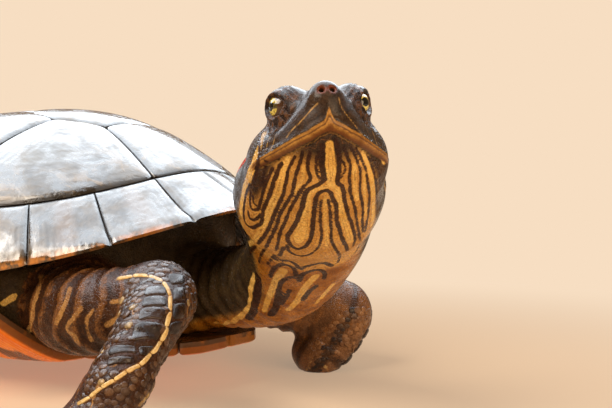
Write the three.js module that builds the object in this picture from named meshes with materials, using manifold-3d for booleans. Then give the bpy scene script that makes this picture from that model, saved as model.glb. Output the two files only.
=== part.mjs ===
// A red-eared slider turtle, life size, as a still model that stands on its four feet with its neck
// stretched out and turned to its right. Millimetres, +Z up, the snout side is -Y, the turtle's left is +X.
// The shell is made of separate plates over a fleshy trunk; head, neck, legs, tail and eyes are solids
// of their own, with a thin gap wherever two of them meet.
import * as THREE from "three";
import { mergeVertices } from "three/addons/utils/BufferGeometryUtils.js";
import Module from "manifold-3d";

const wasm = await Module();
wasm.setup();

// ---- Driving dimensions -------------------------------------------------------------------------
const HALF_LENGTH = 90; // half the straight length of the carapace
const HALF_WIDTH = 69; // half its width, a little behind the middle
const REAR_FLARE = 0.09; // how much wider the outline is behind than in front
const OUTLINE_POWER = 2.25; // above 2, a fuller outline than an ellipse
const SHELL_HEIGHT = 75.9; // from the underside of the plastron to the top of the carapace
const RIM_SIDE = 25.8; // height of the rim above the underside, at the bridge
const RIM_FRONT_RISE = 16.3; // how much higher it is over the neck
const RIM_REAR_RISE = 4; // and over the tail
const SHELL_TILT = 2.9; // degrees, front end up
const SHELL_LIFT = 8.3; // underside above the floor, at mid length
const PLATE = 3.6; // thickness of a shell plate
const GAP = 0.3; // left between two solids that meet
const FLESH_INSET = 4.6; // trunk below the outer face of the plates

// The middle of the finished model's box, so that the origin can sit under it.
const BOX_MIDDLE_X = 1.7;
const BOX_MIDDLE_Y = -16.1;

// ---- Small helpers ------------------------------------------------------------------------------
const { sin, cos, abs, hypot, max, min, PI } = Math;
const rad = THREE.MathUtils.degToRad;
const clamp = THREE.MathUtils.clamp;
const lerp = THREE.MathUtils.lerp;
const v3 = (x, y, z) => new THREE.Vector3(x, y, z);

// A closed solid from a list of points and a list of triangles.
function solidFrom(points, triangles) {
  const geometry = new THREE.BufferGeometry().setFromPoints(points);
  geometry.setIndex(triangles.flat());
  return solidOf(geometry);
}

function solidOf(geometry) {
  const bare = geometry.clone();
  bare.deleteAttribute("normal");
  bare.deleteAttribute("uv");
  const merged = mergeVertices(bare, 1e-4);
  const solid = new wasm.Manifold(
    new wasm.Mesh({
      numProp: 3,
      vertProperties: new Float32Array(merged.attributes.position.array),
      triVerts: new Uint32Array(merged.index.array),
    }),
  );
  return solid;
}

function geometryOf(solid) {
  const mesh = solid.getMesh();
  const geometry = new THREE.BufferGeometry();
  geometry.setAttribute("position", new THREE.BufferAttribute(mesh.vertProperties, 3));
  geometry.setIndex(new THREE.BufferAttribute(mesh.triVerts, 1));
  const faceted = geometry.toNonIndexed();
  faceted.computeVertexNormals();
  return faceted;
}

// Triangles of a stack of rings that all have the same number of points, closed at both ends by a fan.
function closedRings(rings) {
  const count = rings[0].length;
  const points = rings.flat();
  const triangles = [];
  for (let i = 0; i + 1 < rings.length; i++) {
    for (let j = 0; j < count; j++) {
      const k = (j + 1) % count;
      const [a, b, c, d] = [i * count + j, i * count + k, (i + 1) * count + k, (i + 1) * count + j];
      triangles.push([a, b, c], [a, c, d]);
    }
  }
  const middleOf = (ring) =>
    ring.reduce((sum, p) => sum.add(p), v3(0, 0, 0)).multiplyScalar(1 / count);
  const first = points.push(middleOf(rings[0])) - 1;
  const last = points.push(middleOf(rings.at(-1))) - 1;
  const base = (rings.length - 1) * count;
  for (let j = 0; j < count; j++) {
    const k = (j + 1) % count;
    triangles.push([first, k, j], [last, base + j, base + k]);
  }
  const solid = solidFrom(points, triangles);
  return solid.volume() < 0 ? solidFrom(points, triangles.map(([a, b, c]) => [a, c, b])) : solid;
}

// ---- The carapace as a surface ------------------------------------------------------------------
// 0 at the middle of the plan and 1 on the rim.
function rimShare(x, y) {
  const width = HALF_WIDTH * (1 + (REAR_FLARE * y) / HALF_LENGTH);
  return (abs(x / width) ** OUTLINE_POWER + abs(y / HALF_LENGTH) ** OUTLINE_POWER) ** (1 / OUTLINE_POWER);
}

// How far a direction in the plan points to the front (1), the side (0) or the rear (-1).
const frontness = (x, y) => -y / (hypot(1.25 * x, y) + 1e-9);

function rimHeight(x, y) {
  const c = frontness(x, y);
  return RIM_SIDE + RIM_FRONT_RISE * max(c, 0) ** 3.35 + RIM_REAR_RISE * max(-c, 0) ** 3;
}

// Height of the carapace's outer face: steep above the bridge, flared over the neck and the tail.
function domeHeight(x, y) {
  const c = frontness(x, y);
  const front = max(c, 0) ** 2;
  const rear = max(-c, 0) ** 2;
  const share = min(rimShare(x, y), 1);
  const dome = (1 - share ** (2.25 + 0.64 * front + 0.3 * rear)) ** (0.68 + 1.06 * front + 0.35 * rear);
  const top = SHELL_HEIGHT - 3 * ((y + 6) / HALF_LENGTH) ** 2;
  return lerp(rimHeight(x, y), top, dome);
}

// From the shell's own frame to the frame of the model.
function stand(p) {
  const a = rad(SHELL_TILT);
  return v3(p.x, p.y * cos(a) + p.z * sin(a), -p.y * sin(a) + p.z * cos(a) + SHELL_LIFT);
}

// A point of a surface z = height(x, y), moved by depth against the side that faces out.
function surfacePoint(height, x, y, depth, facing = 1) {
  const step = 0.4;
  const slopeX = (height(x + step, y) - height(x - step, y)) / (2 * step);
  const slopeY = (height(x, y + step) - height(x, y - step)) / (2 * step);
  const normal = v3(-slopeX, -slopeY, 1).normalize().multiplyScalar(facing);
  return v3(x, y, height(x, y)).addScaledVector(normal, -depth);
}

// The rim as points at equal small steps from the middle of the front to the middle of the rear.
const rim = (() => {
  const points = [];
  for (let i = 0; i <= 720; i++) {
    const turn = (PI * i) / 720;
    const direction = new THREE.Vector2(sin(turn), -cos(turn));
    let low = 0;
    let high = 200;
    for (let n = 0; n < 40; n++) {
      const middle = (low + high) / 2;
      if (rimShare(direction.x * middle, direction.y * middle) < 1) low = middle;
      else high = middle;
    }
    points.push(direction.multiplyScalar(low));
  }
  return new THREE.SplineCurve(points.filter((_, i) => i % 12 === 0));
})();
rim.arcLengthDivisions = 720;

// A point at a share of the rim's length, scaled towards the middle. side is 1 on the left, -1 on the right.
function rimPoint(along, scale, side) {
  const p = rim.getPointAt(clamp(along, 0, 1));
  return new THREE.Vector2(p.x * scale * side, p.y * scale);
}

// Scale at which the marginal plates end and the costal and vertebral plates begin.
function seamScale(along) {
  const p = rim.getPointAt(clamp(along, 0, 1));
  const c = frontness(p.x, p.y);
  return 0.9 - 0.13 * max(c, 0) ** 2 - 0.08 * max(-c, 0) ** 2;
}

// ---- Plates -------------------------------------------------------------------------------------
// An outline moved inwards by a distance, corner by corner.
function inset(outline, distance) {
  return outline.map((p, i) => {
    const before = outline.at(i - 1);
    const after = outline[(i + 1) % outline.length];
    const a = p.clone().sub(before).normalize();
    const b = after.clone().sub(p).normalize();
    const normal = new THREE.Vector2(-a.y - b.y, a.x + b.x).normalize();
    const spread = max(0.5, normal.dot(new THREE.Vector2(-a.y, a.x)));
    return p.clone().addScaledVector(normal, distance / spread);
  });
}

// Adds points along straight edges so that none is longer than a limit.
function divided(corners, limit) {
  return corners.flatMap((p, i) => {
    const next = corners[(i + 1) % corners.length];
    const steps = max(1, Math.ceil(p.distanceTo(next) / limit));
    return Array.from({ length: steps }, (_, n) => p.clone().lerp(next, n / steps));
  });
}

// A plate over an outline in the plan: an outer face of two rings and a middle, an inner face and a wall.
// grow swells it all round.
function plate(corners, height, facing, grow = 0) {
  const area = THREE.ShapeUtils.area(corners);
  const turned = area > 0 ? corners : [...corners].reverse();
  const outline = inset(divided(turned, 16), GAP / 2 - grow);
  const middle = outline.reduce((s, p) => s.add(p), new THREE.Vector2()).multiplyScalar(1 / outline.length);
  const ringAt = (share, depth) =>
    outline.map((p) => {
      const q = middle.clone().lerp(p, share);
      return stand(surfacePoint(height, q.x, q.y, depth, facing));
    });
  const [outer, inner] = [-grow, PLATE + grow];
  return closedRings([ringAt(0.5, outer), ringAt(1, outer), ringAt(1, inner), ringAt(0.5, inner)]);
}

// Widths of the marginal plates along the rim, from the half of the nuchal plate to the tail.
const MARGINAL_WIDTHS = [5, 21, 20, 19, 18, 19, 20, 20, 20, 20, 19, 18, 15];
const marginalTotal = MARGINAL_WIDTHS.reduce((a, b) => a + b);
const marginalEnds = MARGINAL_WIDTHS.map(
  (_, i) => MARGINAL_WIDTHS.slice(0, i + 1).reduce((a, b) => a + b) / marginalTotal,
);

// A marginal plate: its cross-section, a wedge that wraps round the rim, swept along the rim.
function marginal(from, to, side) {
  const half = GAP / 2 / rim.getLength();
  const steps = 2;
  const sections = [];
  for (let i = 0; i <= steps; i++) {
    const along = lerp(from + half, to - half, i / steps);
    const mirrored = from < 0 && along < 0;
    const sign = mirrored ? -side : side;
    const at = mirrored ? -along : along;
    const seam = seamScale(at);
    const inner = rimPoint(at, seam + 0.004, sign);
    const middle = rimPoint(at, lerp(seam, 1, 0.55), sign);
    const edge = rimPoint(at, 0.997, sign);
    const under = rimPoint(at, lerp(seam, 1, 0.42), sign);
    const rimZ = rimHeight(edge.x, edge.y);
    sections.push(
      [
        surfacePoint(domeHeight, inner.x, inner.y, 0),
        surfacePoint(domeHeight, middle.x, middle.y, 0),
        v3(edge.x, edge.y, rimZ + 0.3),
        v3(edge.x * 0.988, edge.y * 0.988, rimZ - 1.7),
        v3(under.x, under.y, rimZ + 0.2),
        surfacePoint(domeHeight, inner.x, inner.y, PLATE),
      ].map(stand),
    );
  }
  return closedRings(sections);
}

// Where the corners of the vertebral and costal plates lie: y in mm from the middle of the shell.
const VERTEBRAL_ENDS = [-69, -42, -10, 23, 52, 72];
const VERTEBRAL_END_HALF = [0, 15, 15, 14, 10, 0];
const VERTEBRAL_CORNER_Y = [0, -27, 6, 38];
const VERTEBRAL_CORNER_HALF = [0, 21, 21.5, 19];
const FIRST_CORNER_AT = marginalEnds[1];
const LAST_CORNER_AT = (marginalEnds[10] + marginalEnds[11]) / 2;
const COSTAL_FEET = [
  FIRST_CORNER_AT,
  (marginalEnds[4] + marginalEnds[5]) / 2,
  (marginalEnds[6] + marginalEnds[7]) / 2,
  (marginalEnds[8] + marginalEnds[9]) / 2,
  LAST_CORNER_AT,
];
const p2 = (x, y) => new THREE.Vector2(x, y);

// Points of the seam between the marginal plates and the rest, from one share of the rim to another.
function seamPoints(from, to, side, steps) {
  return Array.from({ length: steps + 1 }, (_, i) => {
    const along = lerp(from, to, i / steps);
    return rimPoint(along, seamScale(along), side);
  });
}

function vertebralOutline(index) {
  const [front, rear] = [VERTEBRAL_ENDS[index], VERTEBRAL_ENDS[index + 1]];
  const [frontHalf, rearHalf] = [VERTEBRAL_END_HALF[index], VERTEBRAL_END_HALF[index + 1]];
  if (index === 0) {
    const edge = [...seamPoints(FIRST_CORNER_AT, 0, -1, 2), ...seamPoints(0, FIRST_CORNER_AT, 1, 2).slice(1)];
    return [...edge, p2(rearHalf, rear), p2(-rearHalf, rear)];
  }
  if (index === 4) {
    const edge = [...seamPoints(LAST_CORNER_AT, 1, 1, 2), ...seamPoints(1, LAST_CORNER_AT, -1, 2).slice(1)];
    return [p2(-frontHalf, front), p2(frontHalf, front), ...edge];
  }
  const [y, half] = [VERTEBRAL_CORNER_Y[index], VERTEBRAL_CORNER_HALF[index]];
  return [
    p2(-frontHalf, front),
    p2(frontHalf, front),
    p2(half, y),
    p2(rearHalf, rear),
    p2(-rearHalf, rear),
    p2(-half, y),
  ];
}

function costalOutline(index, side) {
  const inner = [];
  if (index > 0) inner.push(p2(VERTEBRAL_CORNER_HALF[index], VERTEBRAL_CORNER_Y[index]));
  inner.push(p2(VERTEBRAL_END_HALF[index + 1], VERTEBRAL_ENDS[index + 1]));
  if (index < 3) inner.push(p2(VERTEBRAL_CORNER_HALF[index + 1], VERTEBRAL_CORNER_Y[index + 1]));
  const outer = seamPoints(COSTAL_FEET[index + 1], COSTAL_FEET[index], side, 4);
  return [...inner.map((p) => p2(p.x * side, p.y)), ...outer];
}

// ---- Plastron -----------------------------------------------------------------------------------
const BRIDGE_FLAT = 37; // half-width of the flat part between the bridges
const BRIDGE_FOOT = 62; // where a bridge meets the marginal plates
const BRIDGE_RISE = 19;
function plastronHeight(x, y) {
  const share = max(0, (abs(x) - BRIDGE_FLAT) / (BRIDGE_FOOT - BRIDGE_FLAT));
  return BRIDGE_RISE * share ** 1.35;
}
// One side of each pair of plates, from the gular at the front to the anal at the rear.
const PLASTRON = {
  gular: [[0, -75], [13, -75], [20, -71], [0, -60]],
  humeral: [[0, -60], [20, -71], [29, -61], [33, -48], [0, -46]],
  pectoral: [[0, -46], [33, -48], [57, -38], [61, -30], [62.5, -20], [0, -23]],
  abdominal: [[0, -23], [62.5, -20], [63.5, 0], [63.5, 22], [58, 33], [38, 38], [35, 30], [0, 19]],
  femoral: [[0, 19], [35, 30], [36, 42], [33, 57], [0, 47]],
  anal: [[0, 47], [33, 57], [27, 73], [19, 82], [12, 83], [0, 74]],
};

// ---- Flesh: lofts along a curve -----------------------------------------------------------------
// A station is [x, y, z, half-width, half-height]. The width of a section lies along side, a level vector
// or any other; its height stands square to that and to the curve. grow swells the loft all round.
function loft(stations, side, around, steps, { grow = 0, roundStart = false, roundEnd = true } = {}) {
  const centres = new THREE.CatmullRomCurve3(stations.map(([x, y, z]) => v3(x, y, z)), false, "centripetal");
  const sizes = new THREE.CatmullRomCurve3(stations.map((s) => v3(s[3], s[4], 0)), false, "centripetal");
  const ringAt = (t, shrink, push) => {
    const tangent = centres.getTangent(t);
    const across = side.clone().addScaledVector(tangent, -side.dot(tangent)).normalize();
    const up = across.clone().cross(tangent).normalize();
    const centre = centres.getPoint(t).addScaledVector(tangent, push);
    const size = sizes.getPoint(t);
    return Array.from({ length: around }, (_, j) => {
      const a = (2 * PI * j) / around;
      return centre
        .clone()
        .addScaledVector(across, cos(a) * (size.x + grow) * shrink)
        .addScaledVector(up, sin(a) * (size.y + grow) * shrink);
    });
  };
  // Two smaller rings past an end round it off.
  const capRings = (t, station, direction) => {
    const reach = 0.8 * min(station[3], station[4]) + grow;
    return [ringAt(t, 0.74, direction * reach * 0.65), ringAt(t, 0.34, direction * reach)];
  };
  const rings = Array.from({ length: steps + 1 }, (_, i) => ringAt(i / steps, 1, 0));
  if (roundStart) rings.unshift(...capRings(0, stations[0], -1).reverse());
  if (roundEnd) rings.push(...capRings(1, stations.at(-1), 1));
  return closedRings(rings);
}

const union = (solids) => solids.reduce((all, one) => all.add(one));

// ---- Head ---------------------------------------------------------------------------------------
// The head's own frame: s runs back from the snout, l to the turtle's left, u up. Its datum is the
// front of the cutting edge of the upper jaw.
const SNOUT = v3(-72.4, -145.3, 67.7);
const HEAD_YAW = -54.5; // degrees from straight ahead, to the turtle's right
const HEAD_PITCH = 18;
const HEAD_ROLL = 4.9;
const headAxes = (() => {
  const [yaw, pitch, roll] = [rad(HEAD_YAW), rad(HEAD_PITCH), rad(HEAD_ROLL)];
  const forward = v3(sin(yaw) * cos(pitch), -cos(yaw) * cos(pitch), sin(pitch));
  const left = v3(cos(yaw), sin(yaw), 0);
  const up = left.clone().cross(forward).negate();
  if (up.z < 0) up.negate();
  return {
    back: forward.clone().negate(),
    left: left.clone().multiplyScalar(cos(roll)).addScaledVector(up, sin(roll)),
    up: up.clone().multiplyScalar(cos(roll)).addScaledVector(left, -sin(roll)),
  };
})();
const headPoint = (s, l, u) =>
  SNOUT.clone()
    .addScaledVector(headAxes.back, s)
    .addScaledVector(headAxes.left, l)
    .addScaledVector(headAxes.up, u);

// Half-width, top and underside of the head at distances back from the snout.
const HEAD_STATIONS = [
  [0, 2.6, 8.2, 1.6],
  [0.8, 4.0, 9.2, 0.2],
  [2.4, 5.6, 9.9, -2.2],
  [5, 7.2, 10.6, -3.8],
  [9, 9.2, 11.4, -5.0],
  [13, 10.8, 12.0, -6.0],
  [17, 12.1, 12.4, -7.2],
  [21, 13.4, 12.6, -8.8],
  [26, 14.8, 12.4, -10.6],
  [31, 15.9, 12.0, -12.2],
  [37, 15.9, 11.4, -13.4],
];
const HEAD_AROUND = 20;
function headSolid() {
  const rings = HEAD_STATIONS.map(([s, half, top, bottom]) => {
    const middle = lerp(bottom, top, 0.52);
    return Array.from({ length: HEAD_AROUND }, (_, j) => {
      const a = (2 * PI * j) / HEAD_AROUND;
      const power = 0.86;
      const across = Math.sign(cos(a)) * abs(cos(a)) ** power;
      const upward = Math.sign(sin(a)) * abs(sin(a)) ** power;
      const height = upward > 0 ? top - middle : middle - bottom;
      return headPoint(s, across * half, middle + upward * height);
    });
  });
  return closedRings(rings);
}

const EYE = { s: 9.6, l: 6.8, u: 7.6, radius: 3.0 };
const BROW = { s: 10.0, l: 4.9, u: 7.4, radius: 4.5 };
const ball = (centre, radius, width, height) => {
  const sphere = new THREE.SphereGeometry(radius, width, height);
  sphere.translate(centre.x, centre.y, centre.z);
  return solidOf(sphere);
};

// ---- Neck, legs and tail ------------------------------------------------------------------------
const NECK = [
  [0, -52, 31, 13, 11.5],
  [-1, -74, 30, 12.8, 11.5],
  [-8, -96, 34, 12.8, 12],
  [-21.6, -111.4, 45, 14.4, 13],
  [-43.2, -124.6, 57.2, 15.8, 12.8],
];

// Each limb has an upper part out of the shell, a lower part from the elbow or knee, and a hand or foot,
// each with the direction that its sections are widest in, then five digits in a fan: where they spread
// from, which way the middle one points in degrees from +X, and their length to the root of the claw.
const LIMBS = {
  leg_front_right: {
    upper: [
      [-20, -40, 28, 12.5, 12],
      [-38, -51, 26, 12, 12.5],
      [-44, -66, 26.5, 10.6, 10.5],
      [-42, -81, 30, 9.2, 8.6],
    ],
    upperSide: v3(0.2, 0.2, 1),
    lower: [
      [-42, -82, 30, 9.4, 8.8],
      [-54, -88, 24, 8.8, 7],
      [-67, -90, 13, 8, 5.8],
    ],
    lowerSide: v3(0.5, -0.2, 0.85),
    foot: [
      [-64, -90, 15, 7.6, 5.6],
      [-72, -89, 7.6, 8.4, 5],
      [-79, -87.6, 3.8, 9, 4.4],
      [-84, -86.6, 3, 8.6, 3.5],
    ],
    footSide: v3(0.1, 1, 0),
    digits: { from: [-78, -87], heading: 190, fan: 74, length: 11, radius: 2.1, claw: 8 },
  },
  leg_front_left: {
    upper: [
      [20, -40, 28, 12.5, 12],
      [32, -58, 27, 12, 11.5],
      [42, -77, 22, 11.4, 10.5],
      [46, -87, 18.5, 11, 9.6],
    ],
    upperSide: v3(-0.2, 0.2, 1),
    lower: [
      [46, -87, 18, 10.6, 9.8],
      [44, -85, 11, 10, 8.4],
      [41, -81, 5, 8.6, 7],
    ],
    lowerSide: v3(0.3, 1, 0),
    foot: [
      [41, -82, 6, 8.2, 6],
      [48, -79, 4.6, 8.6, 4.8],
      [56, -75, 3.2, 9, 3.7],
    ],
    footSide: v3(-0.45, 1, 0),
    digits: { from: [53, -76], heading: 24, fan: 74, length: 11, radius: 2.1, claw: 8 },
  },
  leg_hind_right: {
    upper: [
      [-24, 44, 25, 13, 12],
      [-45, 53, 21, 12, 11],
      [-60, 59, 17.5, 10.4, 9.4],
    ],
    upperSide: v3(0.2, 0.6, 0.8),
    lower: [
      [-60, 59, 17.5, 10, 9.4],
      [-66, 67, 11, 8.4, 7.6],
      [-70, 74, 6.5, 8, 6.4],
    ],
    lowerSide: v3(0.8, -0.5, 0.2),
    foot: [
      [-68, 71, 8, 8.2, 6.4],
      [-74, 79, 5, 9.8, 5],
      [-81, 87, 3.2, 10.4, 3.7],
    ],
    footSide: v3(0.75, 0.65, 0),
    digits: { from: [-78, 83.5], heading: 134, fan: 66, length: 14, radius: 2.2, claw: 6 },
  },
  leg_hind_left: {
    upper: [
      [24, 44, 25, 13, 12],
      [45, 50, 21, 12, 11],
      [61, 53, 17.5, 10.4, 9.4],
    ],
    upperSide: v3(-0.2, 0.6, 0.8),
    lower: [
      [61, 53, 17.5, 10, 9.4],
      [68, 60, 11, 8.4, 7.6],
      [73, 66, 6.5, 8, 6.4],
    ],
    lowerSide: v3(0.8, 0.5, 0.2),
    foot: [
      [71, 64, 8, 8.2, 6.4],
      [77, 71, 5, 9.8, 5],
      [85, 78, 3.2, 10.4, 3.7],
    ],
    footSide: v3(-0.7, 0.7, 0),
    digits: { from: [82, 75], heading: 42, fan: 66, length: 14, radius: 2.2, claw: 6 },
  },
};
const DIGITS = 5;
const TAIL = [
  [0, 64, 21, 9, 8],
  [0, 80, 17.5, 7.6, 7],
  [3, 94, 11.5, 5, 4.8],
  [9, 106, 6.5, 3.2, 3],
  [16, 114, 4, 1.8, 1.7],
];

// A digit lies low and ends in a claw that curves down to the floor.
function digitSolids({ from, heading, fan, length, radius, claw }, index) {
  const share = index / (DIGITS - 1) - 0.5;
  const turn = rad(heading + fan * share);
  const reach = length * (1 - 0.5 * share * share);
  const level = v3(-sin(turn), cos(turn), 0);
  const station = (distance, z, half, height) => [
    from[0] + cos(turn) * distance,
    from[1] + sin(turn) * distance,
    z,
    half,
    height,
  ];
  const toe = loft(
    [
      station(0, 2.8, radius * 1.15, radius),
      station(reach * 0.6, 1.8, radius, radius * 0.95),
      station(reach, 1.5, radius * 0.85, radius * 0.8),
    ],
    level, 4, 1,
  );
  const nail = loft(
    [
      station(reach, 2.1, radius * 0.55, radius * 0.6),
      station(reach + claw * 0.6, 2, radius * 0.4, radius * 0.45),
      station(reach + claw, 0.8, radius * 0.14, radius * 0.16),
    ],
    level, 4, 2, { roundEnd: false },
  );
  return [toe, nail];
}

const bothRound = { roundStart: true };
const limbTubes = (limb, grow) => [
  loft(limb.upper, limb.upperSide, 8, 3, { grow }),
  loft(limb.lower, limb.lowerSide, 8, 2, { grow, ...bothRound }),
];
function limbSolid(limb) {
  const foot = loft(limb.foot, limb.footSide, 8, 2, bothRound);
  const digits = Array.from({ length: DIGITS }, (_, i) => digitSolids(limb.digits, i)).flat();
  return union([...limbTubes(limb, 0), foot, ...digits]).trimByPlane([0, 0, 1], 0);
}

// ---- Trunk --------------------------------------------------------------------------------------
// Fills the shell: its roof follows the inside of the carapace, its floor the inside of the plastron.
const TRUNK_AROUND = 20;
function trunkSolid() {
  const ringAt = (scale, roof) =>
    Array.from({ length: TRUNK_AROUND }, (_, j) => {
      const turn = j / (TRUNK_AROUND / 2);
      const side = turn <= 1 ? 1 : -1;
      const along = turn <= 1 ? turn : 2 - turn;
      const q = rimPoint(along, (seamScale(along) - 0.035) * scale, side);
      if (roof) return stand(surfacePoint(domeHeight, q.x, q.y, FLESH_INSET));
      return stand(surfacePoint(plastronHeight, q.x, q.y, FLESH_INSET, -1));
    });
  const roof = [0.35, 0.65, 0.88, 1].map((scale) => ringAt(scale, true));
  const floor = [1, 0.84, 0.66, 0.35].map((scale) => ringAt(scale, false));
  return closedRings([...roof, ...floor]);
}

// ---- Everything together ------------------------------------------------------------------------
const FINISH = {
  vertebral: { color: 0x4a4436, roughness: 0.3 },
  costal: { color: 0x4f4838, roughness: 0.3 },
  marginal: { color: 0x544a36, roughness: 0.32 },
  plastron: { color: 0xd98a2b, roughness: 0.4 },
  skin: { color: 0x54503a, roughness: 0.5 },
  eye: { color: 0xc9a227, roughness: 0.05 },
};
const turtle = new THREE.Group();
const body = new THREE.Group();
body.position.set(-BOX_MIDDLE_X, -BOX_MIDDLE_Y, 0);
turtle.add(body);

function add(name, solid, finish) {
  const mesh = new THREE.Mesh(
    geometryOf(solid),
    new THREE.MeshStandardMaterial({ ...finish, metalness: 0, flatShading: true }),
  );
  mesh.name = name;
  body.add(mesh);
}

for (let i = 0; i < 5; i++) {
  add(`vertebral_${i + 1}`, plate(vertebralOutline(i), domeHeight, 1), FINISH.vertebral);
}
add("nuchal", marginal(-marginalEnds[0], marginalEnds[0], 1), FINISH.marginal);
const plastronRoom = []; // what the flesh keeps clear of
for (const [word, side] of [["left", 1], ["right", -1]]) {
  for (let i = 0; i < 4; i++) {
    add(`costal_${word}_${i + 1}`, plate(costalOutline(i, side), domeHeight, 1), FINISH.costal);
  }
  for (let i = 0; i < 12; i++) {
    const solid = marginal(marginalEnds[i], marginalEnds[i + 1], side);
    add(`marginal_${word}_${i + 1}`, solid, FINISH.marginal);
  }
  for (const [name, corners] of Object.entries(PLASTRON)) {
    const outline = corners.map(([x, y]) => p2(x * side, y));
    add(`${name}_${word}`, plate(outline, plastronHeight, -1), FINISH.plastron);
    plastronRoom.push(plate(outline, plastronHeight, -1, GAP));
  }
}

const level = v3(1, 0, 0);
const neckSide = v3(0.6, -0.8, 0);
const necks = [0, GAP].map((grow) => loft(NECK, neckSide, 12, 6, { grow, roundEnd: false }));
const tails = [0, GAP].map((grow) => loft(TAIL, level, 8, 5, { grow }));
const clearOfPlastron = (solid) => solid.subtract(union(plastronRoom));
let trunk = clearOfPlastron(trunkSolid()).subtract(necks[1]).subtract(tails[1]);
for (const [name, limb] of Object.entries(LIMBS)) {
  add(name, clearOfPlastron(limbSolid(limb)), FINISH.skin);
  trunk = trunk.subtract(union(limbTubes(limb, GAP)));
}
add("trunk", trunk, FINISH.skin);
add("tail", tails[0], FINISH.skin);

const eyes = { left: 1, right: -1 };
let head = headSolid();
for (const [word, side] of Object.entries(eyes)) {
  const centre = headPoint(EYE.s, EYE.l * side, EYE.u);
  head = head.add(ball(headPoint(BROW.s, BROW.l * side, BROW.u), BROW.radius, 10, 7));
  head = head.subtract(ball(centre, EYE.radius + GAP, 10, 7));
  add(`eye_${word}`, ball(centre, EYE.radius, 10, 7), FINISH.eye);
}
// The neck's front end is cut square to the head, one gap behind it.
const neckCut = headPoint(37 + GAP, 0, 0);
const neck = necks[0].trimByPlane(headAxes.back.toArray(), headAxes.back.dot(neckCut));
add("neck", neck, FINISH.skin);
add("head", head, FINISH.skin);

export default turtle;
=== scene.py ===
# %% [markdown]
# # A red-eared slider turtle, as a museum would show it
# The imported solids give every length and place. This lesson gives them their looks: one skin over
# head, neck, legs and tail, a shell of horny plates, eyes, claws, and the wet finish of them all.
# Everything is worked out in millimetres in the turtle's own frame, then put into metres.

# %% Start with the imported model
import math
import bpy
import numpy as np
from mathutils import Matrix, Vector


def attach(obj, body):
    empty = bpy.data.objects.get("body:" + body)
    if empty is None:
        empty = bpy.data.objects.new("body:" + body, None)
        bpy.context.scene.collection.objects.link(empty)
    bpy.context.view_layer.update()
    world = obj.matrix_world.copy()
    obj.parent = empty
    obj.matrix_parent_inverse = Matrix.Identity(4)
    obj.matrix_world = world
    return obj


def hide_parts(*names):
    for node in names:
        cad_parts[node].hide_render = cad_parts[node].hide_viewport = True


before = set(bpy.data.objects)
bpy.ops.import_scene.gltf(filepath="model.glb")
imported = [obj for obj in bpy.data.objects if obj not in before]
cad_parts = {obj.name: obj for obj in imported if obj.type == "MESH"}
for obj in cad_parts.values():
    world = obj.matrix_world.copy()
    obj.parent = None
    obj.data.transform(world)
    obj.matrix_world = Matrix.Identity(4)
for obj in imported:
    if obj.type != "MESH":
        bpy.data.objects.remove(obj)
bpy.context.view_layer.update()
print("nodes from the solids:", len(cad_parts))

# %% [markdown]
# ## One set of measures
# The shell was measured first, because the neck, the legs and the camera all hang on it. The same
# few numbers drive the solids and this script, so both lie in one place.
# The turtle faces -Y, its left is +X, and the frame's origin is under the middle of its box.

# %% Measures of the shell, in millimetres
MM = 0.001
BOX_MIDDLE = np.array([1.7, -16.1, 0.0])  # middle of the whole model, seen from the shell's own middle
HALF_LENGTH, HALF_WIDTH, REAR_FLARE, OUTLINE_POWER = 90.0, 69.0, 0.09, 2.25
SHELL_HEIGHT, RIM_SIDE, RIM_FRONT_RISE, RIM_REAR_RISE = 75.9, 25.8, 16.3, 4.0
SHELL_TILT, SHELL_LIFT = math.radians(2.9), 8.3
PLATE, GAP, FLESH_INSET = 3.6, 0.3, 4.6
BRIDGE_FLAT, BRIDGE_FOOT, BRIDGE_RISE = 37.0, 62.0, 19.0


def unit(v):
    v = np.asarray(v, float)
    return v / np.linalg.norm(v, axis=-1, keepdims=True)


def smoothstep(low, high, x):
    t = np.clip((x - low) / (high - low), 0, 1)
    return t * t * (3 - 2 * t)


def smooth_min(a, b, k):
    """The smaller of two distances, rounded where they are within k of each other."""
    h = np.clip(k - np.abs(a - b), 0, None) / k
    return np.minimum(a, b) - h * h * k * 0.25


def smooth_max(a, b, k):
    return -smooth_min(-a, -b, k)


# %% The carapace as a height over the plan
def rim_share(x, y):
    """0 at the middle of the plan, 1 on the rim."""
    width = HALF_WIDTH * (1 + REAR_FLARE * y / HALF_LENGTH)
    power = OUTLINE_POWER
    return (np.abs(x / width) ** power + np.abs(y / HALF_LENGTH) ** power) ** (1 / power)


def frontness(x, y):
    return -y / (np.hypot(1.25 * x, y) + 1e-9)


def rim_height(x, y):
    c = frontness(x, y)
    return RIM_SIDE + RIM_FRONT_RISE * np.clip(c, 0, 1) ** 3.35 + RIM_REAR_RISE * np.clip(-c, 0, 1) ** 3


def dome_height(x, y):
    c = frontness(x, y)
    front, rear = np.clip(c, 0, 1) ** 2, np.clip(-c, 0, 1) ** 2
    share = np.minimum(rim_share(x, y), 1)
    shape = (1 - share ** (2.25 + 0.64 * front + 0.3 * rear)) ** (0.68 + 1.06 * front + 0.35 * rear)
    top = SHELL_HEIGHT - 3 * ((y + 6) / HALF_LENGTH) ** 2
    return rim_height(x, y) * (1 - shape) + top * shape


def plastron_height(x, y):
    share = np.clip((np.abs(x) - BRIDGE_FLAT) / (BRIDGE_FOOT - BRIDGE_FLAT), 0, None)
    return BRIDGE_RISE * share**1.35


def stand(p):
    """From the shell's own level frame to the turtle's, front end up."""
    p = np.asarray(p, float)
    c, s = math.cos(SHELL_TILT), math.sin(SHELL_TILT)
    y, z = p[..., 1], p[..., 2]
    return np.stack([p[..., 0], y * c + z * s, z * c - y * s + SHELL_LIFT], -1)


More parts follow.
